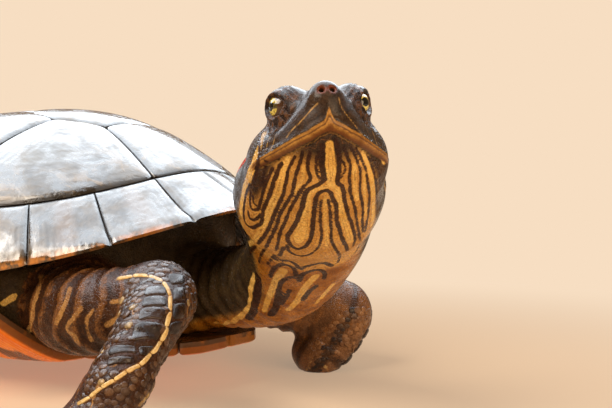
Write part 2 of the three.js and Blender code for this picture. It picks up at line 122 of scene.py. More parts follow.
def unstand(p):
    c, s = math.cos(SHELL_TILT), math.sin(SHELL_TILT)
    y, z = p[..., 1], p[..., 2] - SHELL_LIFT
    return np.stack([p[..., 0], y * c - z * s, y * s + z * c], -1)


print("carapace", 2 * HALF_LENGTH, "mm long,", round(float(dome_height(0.0, -6.0)), 1), "mm high")

# %% [markdown]
# ## The flesh as a distance field
# Skin has no seams, so it is made in one go. Each part of the body is a tube with an oval section
# along a curve. A distance to each tube is easy to write, and a smooth minimum of these distances
# melts the parts together, with a soft fold in each armpit. Small features, such as the lids, the beak
# and the nostrils, are added to or cut from the same field. A mesh is then laid where it is zero.

# %% Tubes along a curve
def curve_through(points, count):
    """Centripetal Catmull-Rom curve through rows of numbers, sampled count times."""
    points = np.asarray(points, float)
    ends = np.vstack([2 * points[0] - points[1], points, 2 * points[-1] - points[-2]])
    knots = np.concatenate([[0], np.cumsum(np.linalg.norm(np.diff(ends[:, :3], axis=0), axis=1) ** 0.5)])
    out = []
    for t in np.linspace(knots[1], knots[-2], count):
        i = min(max(int(np.searchsorted(knots, t, "right")) - 1, 1), len(points) - 1)
        k = knots[i - 1 : i + 3]
        p = ends[i - 1 : i + 3]
        a = [p[j] + (p[j + 1] - p[j]) * (t - k[j]) / (k[j + 1] - k[j]) for j in range(3)]
        b = [a[j] + (a[j + 1] - a[j]) * (t - k[j]) / (k[j + 2] - k[j]) for j in range(2)]
        out.append(b[0] + (b[1] - b[0]) * (t - k[1]) / (k[2] - k[1]))
    return np.array(out)


class Tube:
    """A tube with an oval section: stations are x, y, z, half-width, half-height."""

    def __init__(self, stations, side, count=28):
        rows = curve_through(stations, count)
        self.centre, self.half = rows[:, :3], rows[:, 3:5]
        tangent = unit(np.gradient(self.centre, axis=0))
        side = np.asarray(side, float)
        across = unit(side - tangent * (tangent @ side)[:, None])
        self.axes = np.stack([tangent, across, np.cross(across, tangent)], 1)
        self.length = np.concatenate([[0], np.cumsum(np.linalg.norm(np.diff(self.centre, axis=0), axis=1))])
        reach = self.half.max() + 9
        self.low, self.high = self.centre.min(0) - reach, self.centre.max(0) + reach

    def locate(self, p):
        """Distance along the tube, and place across it in units of its half-sizes, with those half-sizes."""
        gap = ((p[:, None, :] - self.centre[None]) ** 2).sum(-1)
        near = gap.argmin(1)
        last = len(self.centre) - 1
        ahead = np.einsum("ij,ij->i", p - self.centre[near], self.axes[near, 0])
        other = np.clip(near + np.where(ahead > 0, 1, -1), 0, last)
        step = np.linalg.norm(self.centre[other] - self.centre[near], axis=1)
        share = np.where(step > 0, np.clip(np.abs(ahead) / np.maximum(step, 1e-6), 0, 1), 0)[:, None]
        centre = self.centre[near] * (1 - share) + self.centre[other] * share
        across = self.axes[near, 1] * (1 - share) + self.axes[other, 1] * share
        up = self.axes[near, 2] * (1 - share) + self.axes[other, 2] * share
        half = self.half[near] * (1 - share) + self.half[other] * share
        along = self.length[near] * (1 - share[:, 0]) + self.length[other] * share[:, 0]
        offset = p - centre
        beyond = np.where((other == near), np.abs(ahead), 0)
        u = np.einsum("ij,ij->i", offset, across) / half[:, 0]
        v = np.einsum("ij,ij->i", offset, up) / half[:, 1]
        return along, u, v, half, beyond

    def distance(self, p):
        _, u, v, half, beyond = self.locate(p)
        small = half.min(1)
        r = np.sqrt(u * u + v * v + (beyond / small) ** 2)
        return (r - 1) * small


# %% [markdown]
# ### Where everything is
# The stations are those of the solids: along the neck, down each leg to the palm or the sole, and
# along the tail. A digit is a short tube from the hand, fanned out evenly.

# %% Stations of neck, tail and limbs
NECK = [[0, -52, 31, 13, 11.5], [-1, -74, 30, 12.8, 11.5], [-8, -96, 34, 12.8, 12],
        [-21.6, -111.4, 45, 14.4, 13], [-43.2, -124.6, 57.2, 15.8, 12.8]]
NECK_SIDE = [0.6, -0.8, 0]
TAIL = [[0, 64, 21, 9, 8], [0, 80, 17.5, 7.6, 7], [3, 94, 11.5, 5, 4.8], [9, 106, 6.5, 3.2, 3],
        [16, 114, 4, 1.8, 1.7]]
LIMBS = {
    "fore_right": dict(
        upper=[[-20, -40, 28, 12.5, 12], [-38, -51, 26, 12, 12.5], [-44, -66, 26.5, 10.6, 10.5],
               [-42, -81, 30, 9.2, 8.6]], upper_side=[0.2, 0.2, 1],
        lower=[[-42, -82, 30, 9.4, 8.8], [-54, -88, 24, 8.8, 7], [-67, -90, 13, 8, 5.8]],
        lower_side=[0.5, -0.2, 0.85],
        foot=[[-64, -90, 15, 7.6, 5.6], [-72, -89, 7.6, 8.4, 5], [-79, -87.6, 3.8, 9, 4.4],
              [-84, -86.6, 3, 8.6, 3.5]],
        foot_side=[0.1, 1, 0], root=[-78, -87], heading=190, fan=74, reach=11, radius=2.1, claw=8),
    "fore_left": dict(
        upper=[[20, -40, 28, 12.5, 12], [32, -58, 27, 12, 11.5], [42, -77, 22, 11.4, 10.5],
               [46, -87, 18.5, 11, 9.6]], upper_side=[-0.2, 0.2, 1],
        lower=[[46, -87, 18, 10.6, 9.8], [44, -85, 11, 10, 8.4], [41, -81, 5, 8.6, 7]],
        lower_side=[0.3, 1, 0],
        foot=[[41, -82, 6, 8.2, 6], [48, -79, 4.6, 8.6, 4.8], [56, -75, 3.2, 9, 3.7]],
        foot_side=[-0.45, 1, 0], root=[53, -76], heading=24, fan=74, reach=11, radius=2.1, claw=8),
    "hind_right": dict(
        upper=[[-24, 44, 25, 13, 12], [-45, 53, 21, 12, 11], [-60, 59, 17.5, 10.4, 9.4]],
        upper_side=[0.2, 0.6, 0.8],
        lower=[[-60, 59, 17.5, 10, 9.4], [-66, 67, 11, 8.4, 7.6], [-70, 74, 6.5, 8, 6.4]],
        lower_side=[0.8, -0.5, 0.2],
        foot=[[-68, 71, 8, 8.2, 6.4], [-74, 79, 5, 9.8, 5], [-81, 87, 3.2, 10.4, 3.7]],
        foot_side=[0.75, 0.65, 0], root=[-78, 83.5], heading=134, fan=66, reach=14, radius=2.2, claw=6),
    "hind_left": dict(
        upper=[[24, 44, 25, 13, 12], [45, 50, 21, 12, 11], [61, 53, 17.5, 10.4, 9.4]],
        upper_side=[-0.2, 0.6, 0.8],
        lower=[[61, 53, 17.5, 10, 9.4], [68, 60, 11, 8.4, 7.6], [73, 66, 6.5, 8, 6.4]],
        lower_side=[0.8, 0.5, 0.2],
        foot=[[71, 64, 8, 8.2, 6.4], [77, 71, 5, 9.8, 5], [85, 78, 3.2, 10.4, 3.7]],
        foot_side=[-0.7, 0.7, 0], root=[82, 75], heading=42, fan=66, reach=14, radius=2.2, claw=6),
}
DIGITS = 5


def digit_line(limb, index, distance, height):
    """A point over a digit's middle line, a distance from the fan's root and a height over the floor."""
    share = index / (DIGITS - 1) - 0.5
    turn = math.radians(limb["heading"] + limb["fan"] * share)
    x, y = limb["root"]
    return [x + math.cos(turn) * distance, y + math.sin(turn) * distance, height]


def digit_reach(limb, index):
    share = index / (DIGITS - 1) - 0.5
    return limb["reach"] * (1 - 0.5 * share * share)


# %% The head's own frame
SNOUT = np.array([-72.5, -145.1, 66.8])  # front of the upper jaw's cutting edge
HEAD_YAW, HEAD_PITCH, HEAD_ROLL = (math.radians(a) for a in (-54.3, 18, 4.3))
level_ahead = math.cos(HEAD_PITCH)
head_ahead = np.array([math.sin(HEAD_YAW) * level_ahead, -math.cos(HEAD_YAW) * level_ahead,
                       math.sin(HEAD_PITCH)])
head_left = np.array([math.cos(HEAD_YAW), math.sin(HEAD_YAW), 0])
head_up = np.cross(head_ahead, head_left)
HEAD_AXES = np.stack([-head_ahead, head_left * math.cos(HEAD_ROLL) + head_up * math.sin(HEAD_ROLL),
                      head_up * math.cos(HEAD_ROLL) - head_left * math.sin(HEAD_ROLL)])


def to_head(p):
    """s back from the snout, l to the turtle's left, u up."""
    return (p - SNOUT) @ HEAD_AXES.T


def from_head(s, l, u):
    return SNOUT + np.stack(np.broadcast_arrays(s, l, u), -1) @ HEAD_AXES


print("snout at", SNOUT, "pointing", np.round(head_ahead, 2), "with up", np.round(HEAD_AXES[2], 2))

# %% [markdown]
# ### The head
# A slider's head is a blunt wedge: narrow at the snout, widest behind the jaw's corners, flat on top,
# with the throat hanging below. Sections with their own top, underside and width give that wedge. The
# orbits bulge out of it, and the upper jaw's horny edge overhangs the lower jaw by half a millimetre.

# %% The head's sections and features
HEAD_SECTIONS = np.array([  # s, half-width, top, underside, level of the widest place
    [-0.6, 2.0, 7.6, 2.6, 4.8], [0.6, 3.6, 9.0, 0.6, 3.2],
    [2.2, 5.0, 9.9, -1.7, 1.6], [5, 6.9, 10.8, -3.2, 0.4],
    [9, 9.6, 11.4, -4.9, 0.0], [13, 11.8, 12.0, -6.2, -0.2],
    [17, 13.3, 12.5, -7.4, 0.1], [21, 14.2, 12.7, -8.9, 0.4],
    [26, 14.8, 12.6, -10.6, 0.4], [31, 14.9, 12.2, -12.2, -0.2], [38, 14.7, 11.6, -13.4, -0.8],
    [46, 14.0, 10.7, -13.0, -1.0]])
fine_s = np.linspace(-0.6, 46, 180)
fine_head = np.stack([np.interp(fine_s, HEAD_SECTIONS[:, 0], HEAD_SECTIONS[:, i]) for i in range(1, 5)], 1)
for _ in range(12):  # round the corners between the stations
    fine_head[1:-1] = 0.25 * fine_head[:-2] + 0.5 * fine_head[1:-1] + 0.25 * fine_head[2:]
EYE_CENTRE, EYE_RADIUS = np.array([9.9, 6.65, 9.0]), 3.0  # s, outwards, u
EYE_LOOK = unit([-0.55, 0.84, -0.13])
EYE_OPEN_LONG, EYE_OPEN_HIGH = math.radians(47), math.radians(38)
ORBIT = dict(centre=[10.3, 5.8, 8.6], radii=[5.4, 4.3, 4.4])
NOSTRIL = dict(centre=[-0.4, 0.95, 7.5], radius=0.55)
JAW_CORNER_S = 14.5


def head_profile(s):
    return [np.interp(s, fine_s, column) for column in fine_head.T]


def mouth_level(s, l):
    """Height of the line where the jaws meet; it peaks in the middle of the front."""
    d = np.hypot(np.clip(s, 0, None), l)
    return np.interp(d, [0, 1.2, 4.5, 9, 14, 18.5, 24], [0.6, 0.3, -0.8, -1.2, -1.3, -1.3, -1.6])


def eye_frame(side):
    """Centre, looking direction, long axis and high axis of an eye, in the head's frame."""
    mirror = np.array([1, side, 1])
    look = EYE_LOOK * mirror
    level = np.array([-0.31, 0, 0.95])  # the world's up, so that the bar of the iris lies level
    high = unit(level - look * (level @ look))
    return EYE_CENTRE * mirror, look, np.cross(high, look), high


def eye_opening(h, side):
    """Less than 0 inside the opening between the lids; also the distance from the eye's centre."""
    centre, look, long_axis, high = eye_frame(side)
    q = h - centre
    ahead = q @ look
    sideways = np.arctan2(q @ long_axis, ahead) / EYE_OPEN_LONG
    upwards = np.arctan2(q @ high, ahead) / EYE_OPEN_HIGH
    return np.hypot(sideways, upwards) - 1, np.linalg.norm(q, axis=-1)


def ellipsoid(h, centre, radii):
    q = (h - np.asarray(centre)) / np.asarray(radii)
    return (np.linalg.norm(q, axis=-1) - 1) * min(radii)


def head_distance(p):
    h = to_head(p)
    s, l, u = h[:, 0], h[:, 1], h[:, 2]
    half, top, bottom, middle = head_profile(s)
    above = u > middle
    height = np.where(above, top - middle, middle - bottom)
    r = (np.abs(l / half) ** np.where(above, 1.75, 2.1) + np.abs((u - middle) / height) ** 2.15) ** (1 / 2.05)
    d = (r - 1) * np.minimum(half, height) * 0.92
    front = -0.2 + l * l / 14 + 0.05 * np.clip(6.0 - u, 0, None) ** 1.5
    front = front + 0.09 * np.clip(u - 7.2, 0, None) ** 2
    d = smooth_max(d, (front - s) * 0.9, 2.2)
    d = smooth_max(d, s - 44, 6.0)
    d = smooth_min(d, ellipsoid(h, [1.4, 0, 7.2], [1.9, 2.6, 2.5]), 1.5)
    for side in (1, -1):
        mirror = np.array([1, side, 1])
        d = smooth_min(d, ellipsoid(h, np.array(ORBIT["centre"]) * mirror, ORBIT["radii"]), 1.6)
        d = smooth_min(d, ellipsoid(h, [18.5, 8.6 * side, 1.6], [6.5, 4.4, 4.6]), 3.0)
        opening, away = eye_opening(h, side)
        lid = np.hypot((opening - 0.12) * 2.4, away - (EYE_RADIUS + 0.35)) - 0.42
        near = (away < EYE_RADIUS + 3.5) & (np.abs(opening) < 3)
        d = np.where(near, smooth_min(d, lid, 0.9), d)
        crease = 0.11 * np.sin(opening * 11) * smoothstep(0.1, 0.5, opening)
        crease = crease * (1 - smoothstep(1.3, 2.2, opening))
        d = np.where(near, d + crease, d)
        cut = np.maximum(opening * 2.6, EYE_RADIUS - 0.5 - away)
        d = np.where(near, smooth_max(d, -cut, 0.25), d)
        hole = ellipsoid(h, np.array(NOSTRIL["centre"]) * mirror, [1.5, NOSTRIL["radius"], NOSTRIL["radius"]])
        d = smooth_max(d, -hole, 0.35)
        d = d + 0.3 * np.exp(-(((s - 23) / 3.0) ** 2) - ((u - 3.2) / 3.0) ** 2) * (l * side > 5)
    mouth = mouth_level(s, l)
    below = mouth - u
    jaw = (1 - smoothstep(JAW_CORNER_S - 1.5, JAW_CORNER_S + 1.5, s)) * (s > -3)
    overhang = 0.62 * smoothstep(-0.12, 0.22, below) * (1 - smoothstep(0.8, 4.2, below))
    lip = -0.16 * smoothstep(-2.4, -1.6, below) * (1 - smoothstep(-0.5, 0.0, below))
    slit = 0.35 * np.exp(-((below / 0.28) ** 2))
    return d + jaw * (overhang + lip + slit)


# %% [markdown]
# ### Trunk and everything together
# The trunk fills the shell and is seen only in the openings around neck and legs, where its wall
# lies well back from the rim. Skin that bends is loose, so low folds run across the neck and limbs.

# %% The whole field
def seam_share(x, y):
    c = frontness(x, y)
    return 0.9 - 0.13 * np.clip(c, 0, 1) ** 2 - 0.08 * np.clip(-c, 0, 1) ** 2


def trunk_distance(p):
    q = unstand(p)
    x, y, z = q[:, 0], q[:, 1], q[:, 2]
    hidden = 27 + 25 * smoothstep(-46, -58, y)  # no flesh is needed high up inside the shell
    roof = (z - np.minimum(dome_height(x, y) - FLESH_INSET, hidden)) * 0.8
    floor = (plastron_height(x, y) + FLESH_INSET + 0.2 - z) * 0.8
    wall = (rim_share(x, y) - seam_share(x, y) + 0.05) * HALF_WIDTH * 0.9
    return smooth_max(smooth_max(roof, floor, 3.0), wall, 5.0)


neck_tube = Tube(NECK, NECK_SIDE, 40)
tail_tube = Tube(TAIL, [1, 0, 0], 24)
limb_tubes = {name: [Tube(limb[part], limb[part + "_side"]) for part in ("upper", "lower", "foot")]
              for name, limb in LIMBS.items()}
digit_tubes = {}
for name, limb in LIMBS.items():
    for i in range(DIGITS):
        reach, radius = digit_reach(limb, i), limb["radius"]
        rows = [digit_line(limb, i, -2, 3.2) + [radius * 1.25, radius * 1.1],
                digit_line(limb, i, reach * 0.55, 2.0) + [radius, radius * 0.95],
                digit_line(limb, i, reach, 1.6) + [radius * 0.85, radius * 0.8]]
        turn = math.radians(limb["heading"] + 90)
        digit_tubes[name, i] = Tube(rows, [math.cos(turn), math.sin(turn), 0], 8)
FAR = 12.0  # the field where nothing is near, in mm
HEAD_MIDDLE, HEAD_REACH = from_head(20.0, 0.0, 0.0), 40.0  # the head's own field reaches this far
# depth of the folds, and from one fold to the next
FOLDS = {"neck": (0.34, 5.2), "tail": (0.16, 2.6), "upper": (0.38, 5.0), "lower": (0.22, 4.0)}
BLEND = {"neck": 7.0, "tail": 4.0, "upper": 2.0, "lower": 3.0, "foot": 3.0, "digit": 1.4, "web": 1.2,
         "floor": 0.3, "limb": 4.5, "head": 4.0}  # how widely each part melts into what is there, in mm
WEB_SHARE, WEB_HALF = 0.62, 0.75  # how far out along the digits a web reaches, and half its thickness in mm


def fold_wave(along, turn, spacing):
    """The rise and fall of loose skin that lies in folds across a tube, from -1 to 1."""
    return np.sin(2 * np.pi * along / spacing + 1.3 * np.sin(2 * turn + 0.4) + 0.7 * np.sin(5 * turn))


def folded(tube, p, depth, spacing, strength):
    """A tube's distance, with folds of a depth in mm; their strength depends on the share of its length."""
    along, u, v, half, beyond = tube.locate(p)
    small = half.min(1)
    r = np.sqrt(u * u + v * v + (beyond / small) ** 2)
    wave = fold_wave(along, np.arctan2(v, u), spacing)
    return (r - 1) * small + depth * wave * strength(along / tube.length[-1])


def put(d, p, tube, distance, k):
    """Joins a tube to the field, only where its box is near."""
    near = ((p > tube.low) & (p < tube.high)).all(1)
    if near.any():
        d[near] = smooth_min(d[near], distance(p[near]), k)


def flesh(p):
    """Distance to the skin, less than 0 inside, for rows of points."""
    p = np.asarray(p, float)
    d = np.full(len(p), FAR)
    near = (p[:, 2] > 0) & (np.abs(p[:, 0]) < 75) & (p[:, 1] > -85) & (p[:, 1] < 90)
    d[near] = trunk_distance(p[near])
    loose_neck = lambda a: 1 - smoothstep(0.3, 0.72, a)
    loose_arm = lambda a: 1 - smoothstep(0.75, 1.0, a)
    loose_wrist = lambda a: smoothstep(0.2, 0.7, a)
    loose_tail = lambda a: smoothstep(0, 0.3, a)
    put(d, p, neck_tube, lambda q: folded(neck_tube, q, *FOLDS["neck"], loose_neck), BLEND["neck"])
    put(d, p, tail_tube, lambda q: folded(tail_tube, q, *FOLDS["tail"], loose_tail), BLEND["tail"])
    for name, (upper, lower, foot) in limb_tubes.items():
        limb = LIMBS[name]
        box = ((p > upper.low - 25) & (p < np.maximum(upper.high, foot.high) + 25)).all(1)
        low, high = np.minimum(foot.low, lower.low) - 22, np.maximum(foot.high, lower.high) + 22
        box |= ((p > low) & (p < high)).all(1)
        q = p[box]
        e = np.full(len(q), FAR)
        put(e, q, upper, lambda w: folded(upper, w, *FOLDS["upper"], loose_arm), BLEND["upper"])
        put(e, q, lower, lambda w: folded(lower, w, *FOLDS["lower"], loose_wrist), BLEND["lower"])
        put(e, q, foot, foot.distance, BLEND["foot"])
        for i in range(DIGITS):
            tube = digit_tubes[name, i]
            put(e, q, tube, tube.distance, BLEND["digit"])
        for i in range(DIGITS - 1):  # webs between the digits
            a, b = (np.array(digit_line(limb, j, digit_reach(limb, j) * WEB_SHARE, 1.5)) for j in (i, i + 1))
            c = np.array(digit_line(limb, i + 0.5, 0, 2.2))
            e = smooth_min(e, triangle_distance(q, a, b, c) - WEB_HALF, BLEND["web"])
        e = smooth_max(e, -q[:, 2], BLEND["floor"])
        d[box] = smooth_min(d[box], e, BLEND["limb"])
    head = np.linalg.norm(p - HEAD_MIDDLE, axis=1) < HEAD_REACH
    d[head] = smooth_min(d[head], head_distance(p[head]), BLEND["head"])
    return d


def triangle_distance(p, a, b, c):
    """Distance to a triangle, near enough for a thin web: to its plane inside, to its edges outside."""
    n = unit(np.cross(b - a, c - a))
    best = np.full(len(p), 1e9)
    inside = np.ones(len(p), bool)
    for start, end in ((a, b), (b, c), (c, a)):
        edge = end - start
        t = np.clip((p - start) @ edge / (edge @ edge), 0, 1)
        best = np.minimum(best, np.linalg.norm(p - start - t[:, None] * edge, axis=1))
        inside &= (np.cross(n, edge) @ (p - start).T) >= 0
    return np.where(inside, np.abs((p - a) @ n), best)

# %% [markdown]
# ### A mesh where the field is zero
# Surface nets put one point in each cell that the surface crosses, and a face across each cell edge
# that changes sign. The cells are small at the head, where every lid counts, and wide inside the shell.
# Points are then slid along the field's slope onto the surface, which keeps the skin smooth.

# %% A grid that is fine where it matters
def graded(stops):
    """Grid lines from (position, spacing) stops; the spacing holds up to the next stop."""
    lines = [stops[0][0]]
    for (start, spacing), (end, _) in zip(stops[:-1], stops[1:]):
        count = max(1, round((end - start) / spacing))
        lines += list(start + (end - start) * np.arange(1, count + 1) / count)
    return np.array(lines)


GRID_X = [(-106, 0.95), (-80, 0.44), (-42, 0.95), (-18, 1.6), (108, 0)]
GRID_Y = [(-152, 0.44), (-114, 0.88), (-58, 1.6), (120, 0)]
GRID_Z = [(-1.37, 0.7), (13, 1.05), (43, 0.44), (82, 0)]


def field_on_grid(field, lines, block=6, reach=1.5):
    """The field at the grid's nodes; blocks that the surface can't cross keep a far value."""
    shape = tuple(len(a) for a in lines)
    values, wanted = np.full(shape, FAR, np.float32), np.zeros(shape, bool)
    steps = [np.unique(np.append(np.arange(0, n - 1, block), n - 1)) for n in shape]
    span = lambda spot: tuple(slice(s[i], s[i + 1] + 1) for s, i in zip(steps, spot))
    corners = [a[i] for a, i in zip(lines, steps)]
    mesh = np.stack(np.meshgrid(*[(c[:-1] + c[1:]) / 2 for c in corners], indexing="ij"), -1)
    sizes = np.stack(np.meshgrid(*[np.diff(c) for c in corners], indexing="ij"), -1)
    middle = field(mesh.reshape(-1, 3)).reshape(mesh.shape[:3])
    near = np.abs(middle) < np.linalg.norm(sizes, axis=-1) * 0.5 * reach + 1.0
    for spot, value in np.ndenumerate(middle):
        if not near[spot]:
            values[span(spot)] = value
    for spot in np.argwhere(near):
        wanted[span(spot)] = True
    index = np.argwhere(wanted)
    points = np.stack([lines[a][index[:, a]] for a in range(3)], 1)
    found = np.concatenate([field(chunk) for chunk in np.array_split(points, max(1, len(points) // 120000))])
    values[tuple(index.T)] = found
    return values, len(points)


def join_corners(values, rounds=5):
    """Two inside nodes may meet only across the diagonal of a grid face, and the net would pinch there.
    The outside node that lies nearest the surface is then taken inside."""
    corners = [(0, 0), (1, 0), (1, 1), (0, 1)]
    for _ in range(rounds):
        found = 0
        for axis in range(3):
            view = np.moveaxis(values, axis, 0)
            sides = [view[:, i : view.shape[1] - 1 + i, j : view.shape[2] - 1 + j] < 0 for i, j in corners]
            pinched = np.argwhere((sides[0] == sides[2]) & (sides[1] == sides[3]) & (sides[0] != sides[1]))
            for n, a, b in pinched:
                spots = [(n, a + i, b + j) for i, j in corners if view[n, a + i, b + j] >= 0]
                if len(spots) == 2:
                    view[min(spots, key=lambda spot: view[spot])] = -0.002
                    found += 1
        if found == 0:
            break
    return values


# %% Surface nets
def surface_net(values, lines):
    """Points and four-cornered faces of the zero surface, facing out."""
    inside = values < 0
    cells = np.zeros(tuple(n - 1 for n in values.shape), np.uint8)
    corners = [(i, j, k) for i in (0, 1) for j in (0, 1) for k in (0, 1)]
    view = lambda a, c: a[tuple(slice(low, size - 1 + low) for low, size in zip(c, a.shape))]
    for c in corners:
        cells += view(inside, c)
    active = np.argwhere((cells > 0) & (cells < 8))
    number = np.full(cells.shape, -1, np.int64)
    number[tuple(active.T)] = np.arange(len(active))
    total, count = np.zeros((len(active), 3)), np.zeros(len(active))
    for a in corners:
        for axis in range(3):
            if a[axis]:
                continue
            b = list(a)
            b[axis] = 1
            ia, ib = active + a, active + b
            va, vb = values[tuple(ia.T)], values[tuple(ib.T)]
            crossing = (va < 0) != (vb < 0)
            t = np.where(crossing, va / np.where(crossing, va - vb, 1), 0)[:, None]
            pa = np.stack([lines[n][ia[:, n]] for n in range(3)], 1)
            pb = np.stack([lines[n][ib[:, n]] for n in range(3)], 1)
            total += np.where(crossing[:, None], pa + (pb - pa) * t, 0)
            count += crossing
    points = total / count[:, None]
    faces = []
    for axis in range(3):
        one, two = [n for n in range(3) if n != axis]
        along = np.moveaxis(inside, axis, 0)
        a, b = (np.moveaxis(half, 0, axis) for half in (along[:-1], along[1:]))
        edges = np.argwhere(a != b)
        keep = (edges[:, one] > 0) & (edges[:, two] > 0)
        keep &= (edges[:, one] < values.shape[one] - 1) & (edges[:, two] < values.shape[two] - 1)
        edges = edges[keep]
        quad = []
        for d1, d2 in ((-1, -1), (0, -1), (0, 0), (-1, 0)):
            cell = edges.copy()
            cell[:, one] += d1
            cell[:, two] += d2
            quad.append(number[tuple(cell.T)])
        quad = np.stack(quad, 1)
        leaving = a[tuple(edges.T)]
        flip = leaving if axis != 1 else ~leaving
        quad[~flip] = quad[~flip][:, ::-1]
        faces.append(quad)
    return points, np.concatenate(faces)


def slope(field, points, step=0.12):
    out = np.zeros_like(points)
    for axis in range(3):
        offset = np.zeros(3)
        offset[axis] = step
        out[:, axis] = (field(points + offset) - field(points - offset)) / (2 * step)
    return out


def onto_surface(field, points, rounds=2):
    for _ in range(rounds):
        g = slope(field, points)
        size = (g * g).sum(1)
        move = np.clip(field(points) / np.maximum(size, 0.15), -0.4, 0.4)
        points = points - g * move[:, None]
    return points

# %% Lay the skin
grid_lines = [graded(stops) for stops in (GRID_X, GRID_Y, GRID_Z)]
grid_values, evaluated = field_on_grid(flesh, grid_lines)
skin_points, skin_faces = surface_net(join_corners(grid_values), grid_lines)
skin_points = onto_surface(flesh, skin_points)
print("skin:", len(skin_points), "points from", evaluated, "field values")

# %% From arrays to a Blender object
def to_metres(points):
    """From the turtle's frame in millimetres to the model's frame in metres."""
    return (np.asarray(points) - BOX_MIDDLE) * MM


def store(mesh, values):
    """Named numbers or vectors, one for each point."""
    for key, rows in values.items():
        rows = np.asarray(rows, np.float32)
        kind, field = ("FLOAT_VECTOR", "vector") if rows.ndim == 2 else ("FLOAT", "value")
        mesh.attributes.new(key, kind, "POINT").data.foreach_set(field, rows.ravel())


def add_object(name, data):
    made = bpy.data.objects.new(name, data)
    bpy.context.scene.collection.objects.link(made)
    return made


def make_piece(name, points, faces, material, attributes=None, sharp_angle=None, uv=None):
    """A mesh object at the origin, its place in its mesh, with smooth shading but for sharp edges."""
    mesh = bpy.data.meshes.new(name)
    mesh.from_pydata(to_metres(points).tolist(), [], [list(f) for f in faces])
    mesh.validate()
    store(mesh, attributes or {})
    if uv is not None:  # one place on the unwrap for each point, written to every corner that uses it
        corner = np.zeros(len(mesh.loops), np.int32)
        mesh.loops.foreach_get("vertex_index", corner)
        mesh.uv_layers.new(name="OFBake").data.foreach_set("uv", np.asarray(uv, np.float32)[corner].ravel())
    mesh.polygons.foreach_set("use_smooth", [True] * len(mesh.polygons))
    if sharp_angle:
        mesh.set_sharp_from_angle(angle=math.radians(sharp_angle))
    mesh.materials.append(material)
    return add_object(name, mesh)


def grid_faces(rows, columns, offset=0, closed=True):
    """Faces between rows of points; each row closes on itself when closed."""
    faces = []
    for i in range(rows - 1):
        for j in range(columns if closed else columns - 1):
            k = (j + 1) % columns
            a, b = offset + i * columns, offset + (i + 1) * columns
            faces.append((a + j, a + k, b + k, b + j))
    return faces


def closed_rings(rings, around):
    """Faces of a closed form: a first point, rings of points over each other, and a last point."""
    faces, last = grid_faces(rings, around, offset=1), 1 + (rings - 1) * around
    for j in range(around):
        k = (j + 1) % around
        faces += [(0, 1 + k, 1 + j), (last + j, last + k, last + around)]
    return faces

# %% [markdown]
# ## Finishes
# Each finish starts as a plain node material, and effects that several finishes share are node groups:
# granules of skin, a wet film that lies in patches, lines with a slightly ragged edge, and the soft
# cloudiness of horn. A group hands back only masks and heights, so it can be reused anywhere.

# %% Small helpers for node trees
def node(tree, kind, settings=None, **inputs):
    """A new node. An input is named by its socket, or _0, _1 by its place; a socket as value is linked."""
    made = tree.nodes.new(kind)
    for key, value in (settings or {}).items():
        setattr(made, key, value)
    for key, value in inputs.items():
        socket = made.inputs[int(key[1:])] if key[0] == "_" else made.inputs[key.replace("_", " ")]
        if isinstance(value, bpy.types.NodeSocket):
            tree.links.new(value, socket)
        else:
            socket.default_value = value
    return made


def tree_of(*values):
    """The tree that the first socket among some values belongs to."""
    return next(v for v in values if isinstance(v, bpy.types.NodeSocket)).id_data


def calc(operation, a, b=0.0):
    return node(tree_of(a, b), "ShaderNodeMath", {"operation": operation}, _0=a, _1=b).outputs[0]


def times(a, b):
    return calc("MULTIPLY", a, b)


def plus(a, b):
    return calc("ADD", a, b)


def minus(a, b):
    return calc("SUBTRACT", a, b)


def ramp(value, low, high, to_low=0.0, to_high=1.0):
    """A smooth step from one value to another."""
    return node(tree_of(value), "ShaderNodeMapRange", {"interpolation_type": "SMOOTHSTEP"},
                _0=value, _1=low, _2=high, _3=to_low, _4=to_high).outputs[0]


def blend(share, a, b):
    """From colour a to colour b."""
    a, b = (c if isinstance(c, bpy.types.NodeSocket) else (*c, 1.0) for c in (a, b))
    return node(tree_of(share), "ShaderNodeMix", {"data_type": "RGBA"}, _0=share, _6=a, _7=b).outputs[2]


def paint(under, mask, share, colour):
    """A colour laid over another, as far as a share of a mask."""
    return blend(times(mask, share), under, colour)


def tag(tree, name):
    """A number stored on the mesh's points."""
    return node(tree, "ShaderNodeAttribute", {"attribute_name": name}).outputs["Fac"]


def place(tree):
    return node(tree, "ShaderNodeTexCoord").outputs["Object"]


def noise(vector, size_mm, detail=3.0, roughness=0.5, distortion=0.0):
    return node(tree_of(vector), "ShaderNodeTexNoise", Vector=vector, Scale=1000.0 / size_mm, Detail=detail,
                Roughness=roughness, Distortion=distortion).outputs[0]


def group(name, inputs, outputs, build):
    """A shader node group with named float or vector sockets; build fills it in."""
    tree = bpy.data.node_groups.new(name, "ShaderNodeTree")
    for label, kind, value in inputs:
        socket = tree.interface.new_socket(label, in_out="INPUT", socket_type=kind)
        if value is not None:
            socket.default_value = value
    for label, kind in outputs:
        tree.interface.new_socket(label, in_out="OUTPUT", socket_type=kind)
    start, end = tree.nodes.new("NodeGroupInput"), tree.nodes.new("NodeGroupOutput")
    for label, socket in build(tree, start.outputs).items():
        tree.links.new(socket, end.inputs[label])
    return tree


def use(made_group, **inputs):
    return node(tree_of(*inputs.values()), "ShaderNodeGroup", {"node_tree": made_group}, **inputs).outputs


def new_material(name, **constants):
    """A material, its tree, shader node and Object coordinates; constants stay on the shader's sockets."""
    material = bpy.data.materials.new(name)
    material.use_nodes = True
    tree = material.node_tree
    shader = tree.nodes["Principled BSDF"]
    for key, value in constants.items():
        shader.inputs[key.replace("_", " ")].default_value = value
    return material, tree, shader, place(tree)


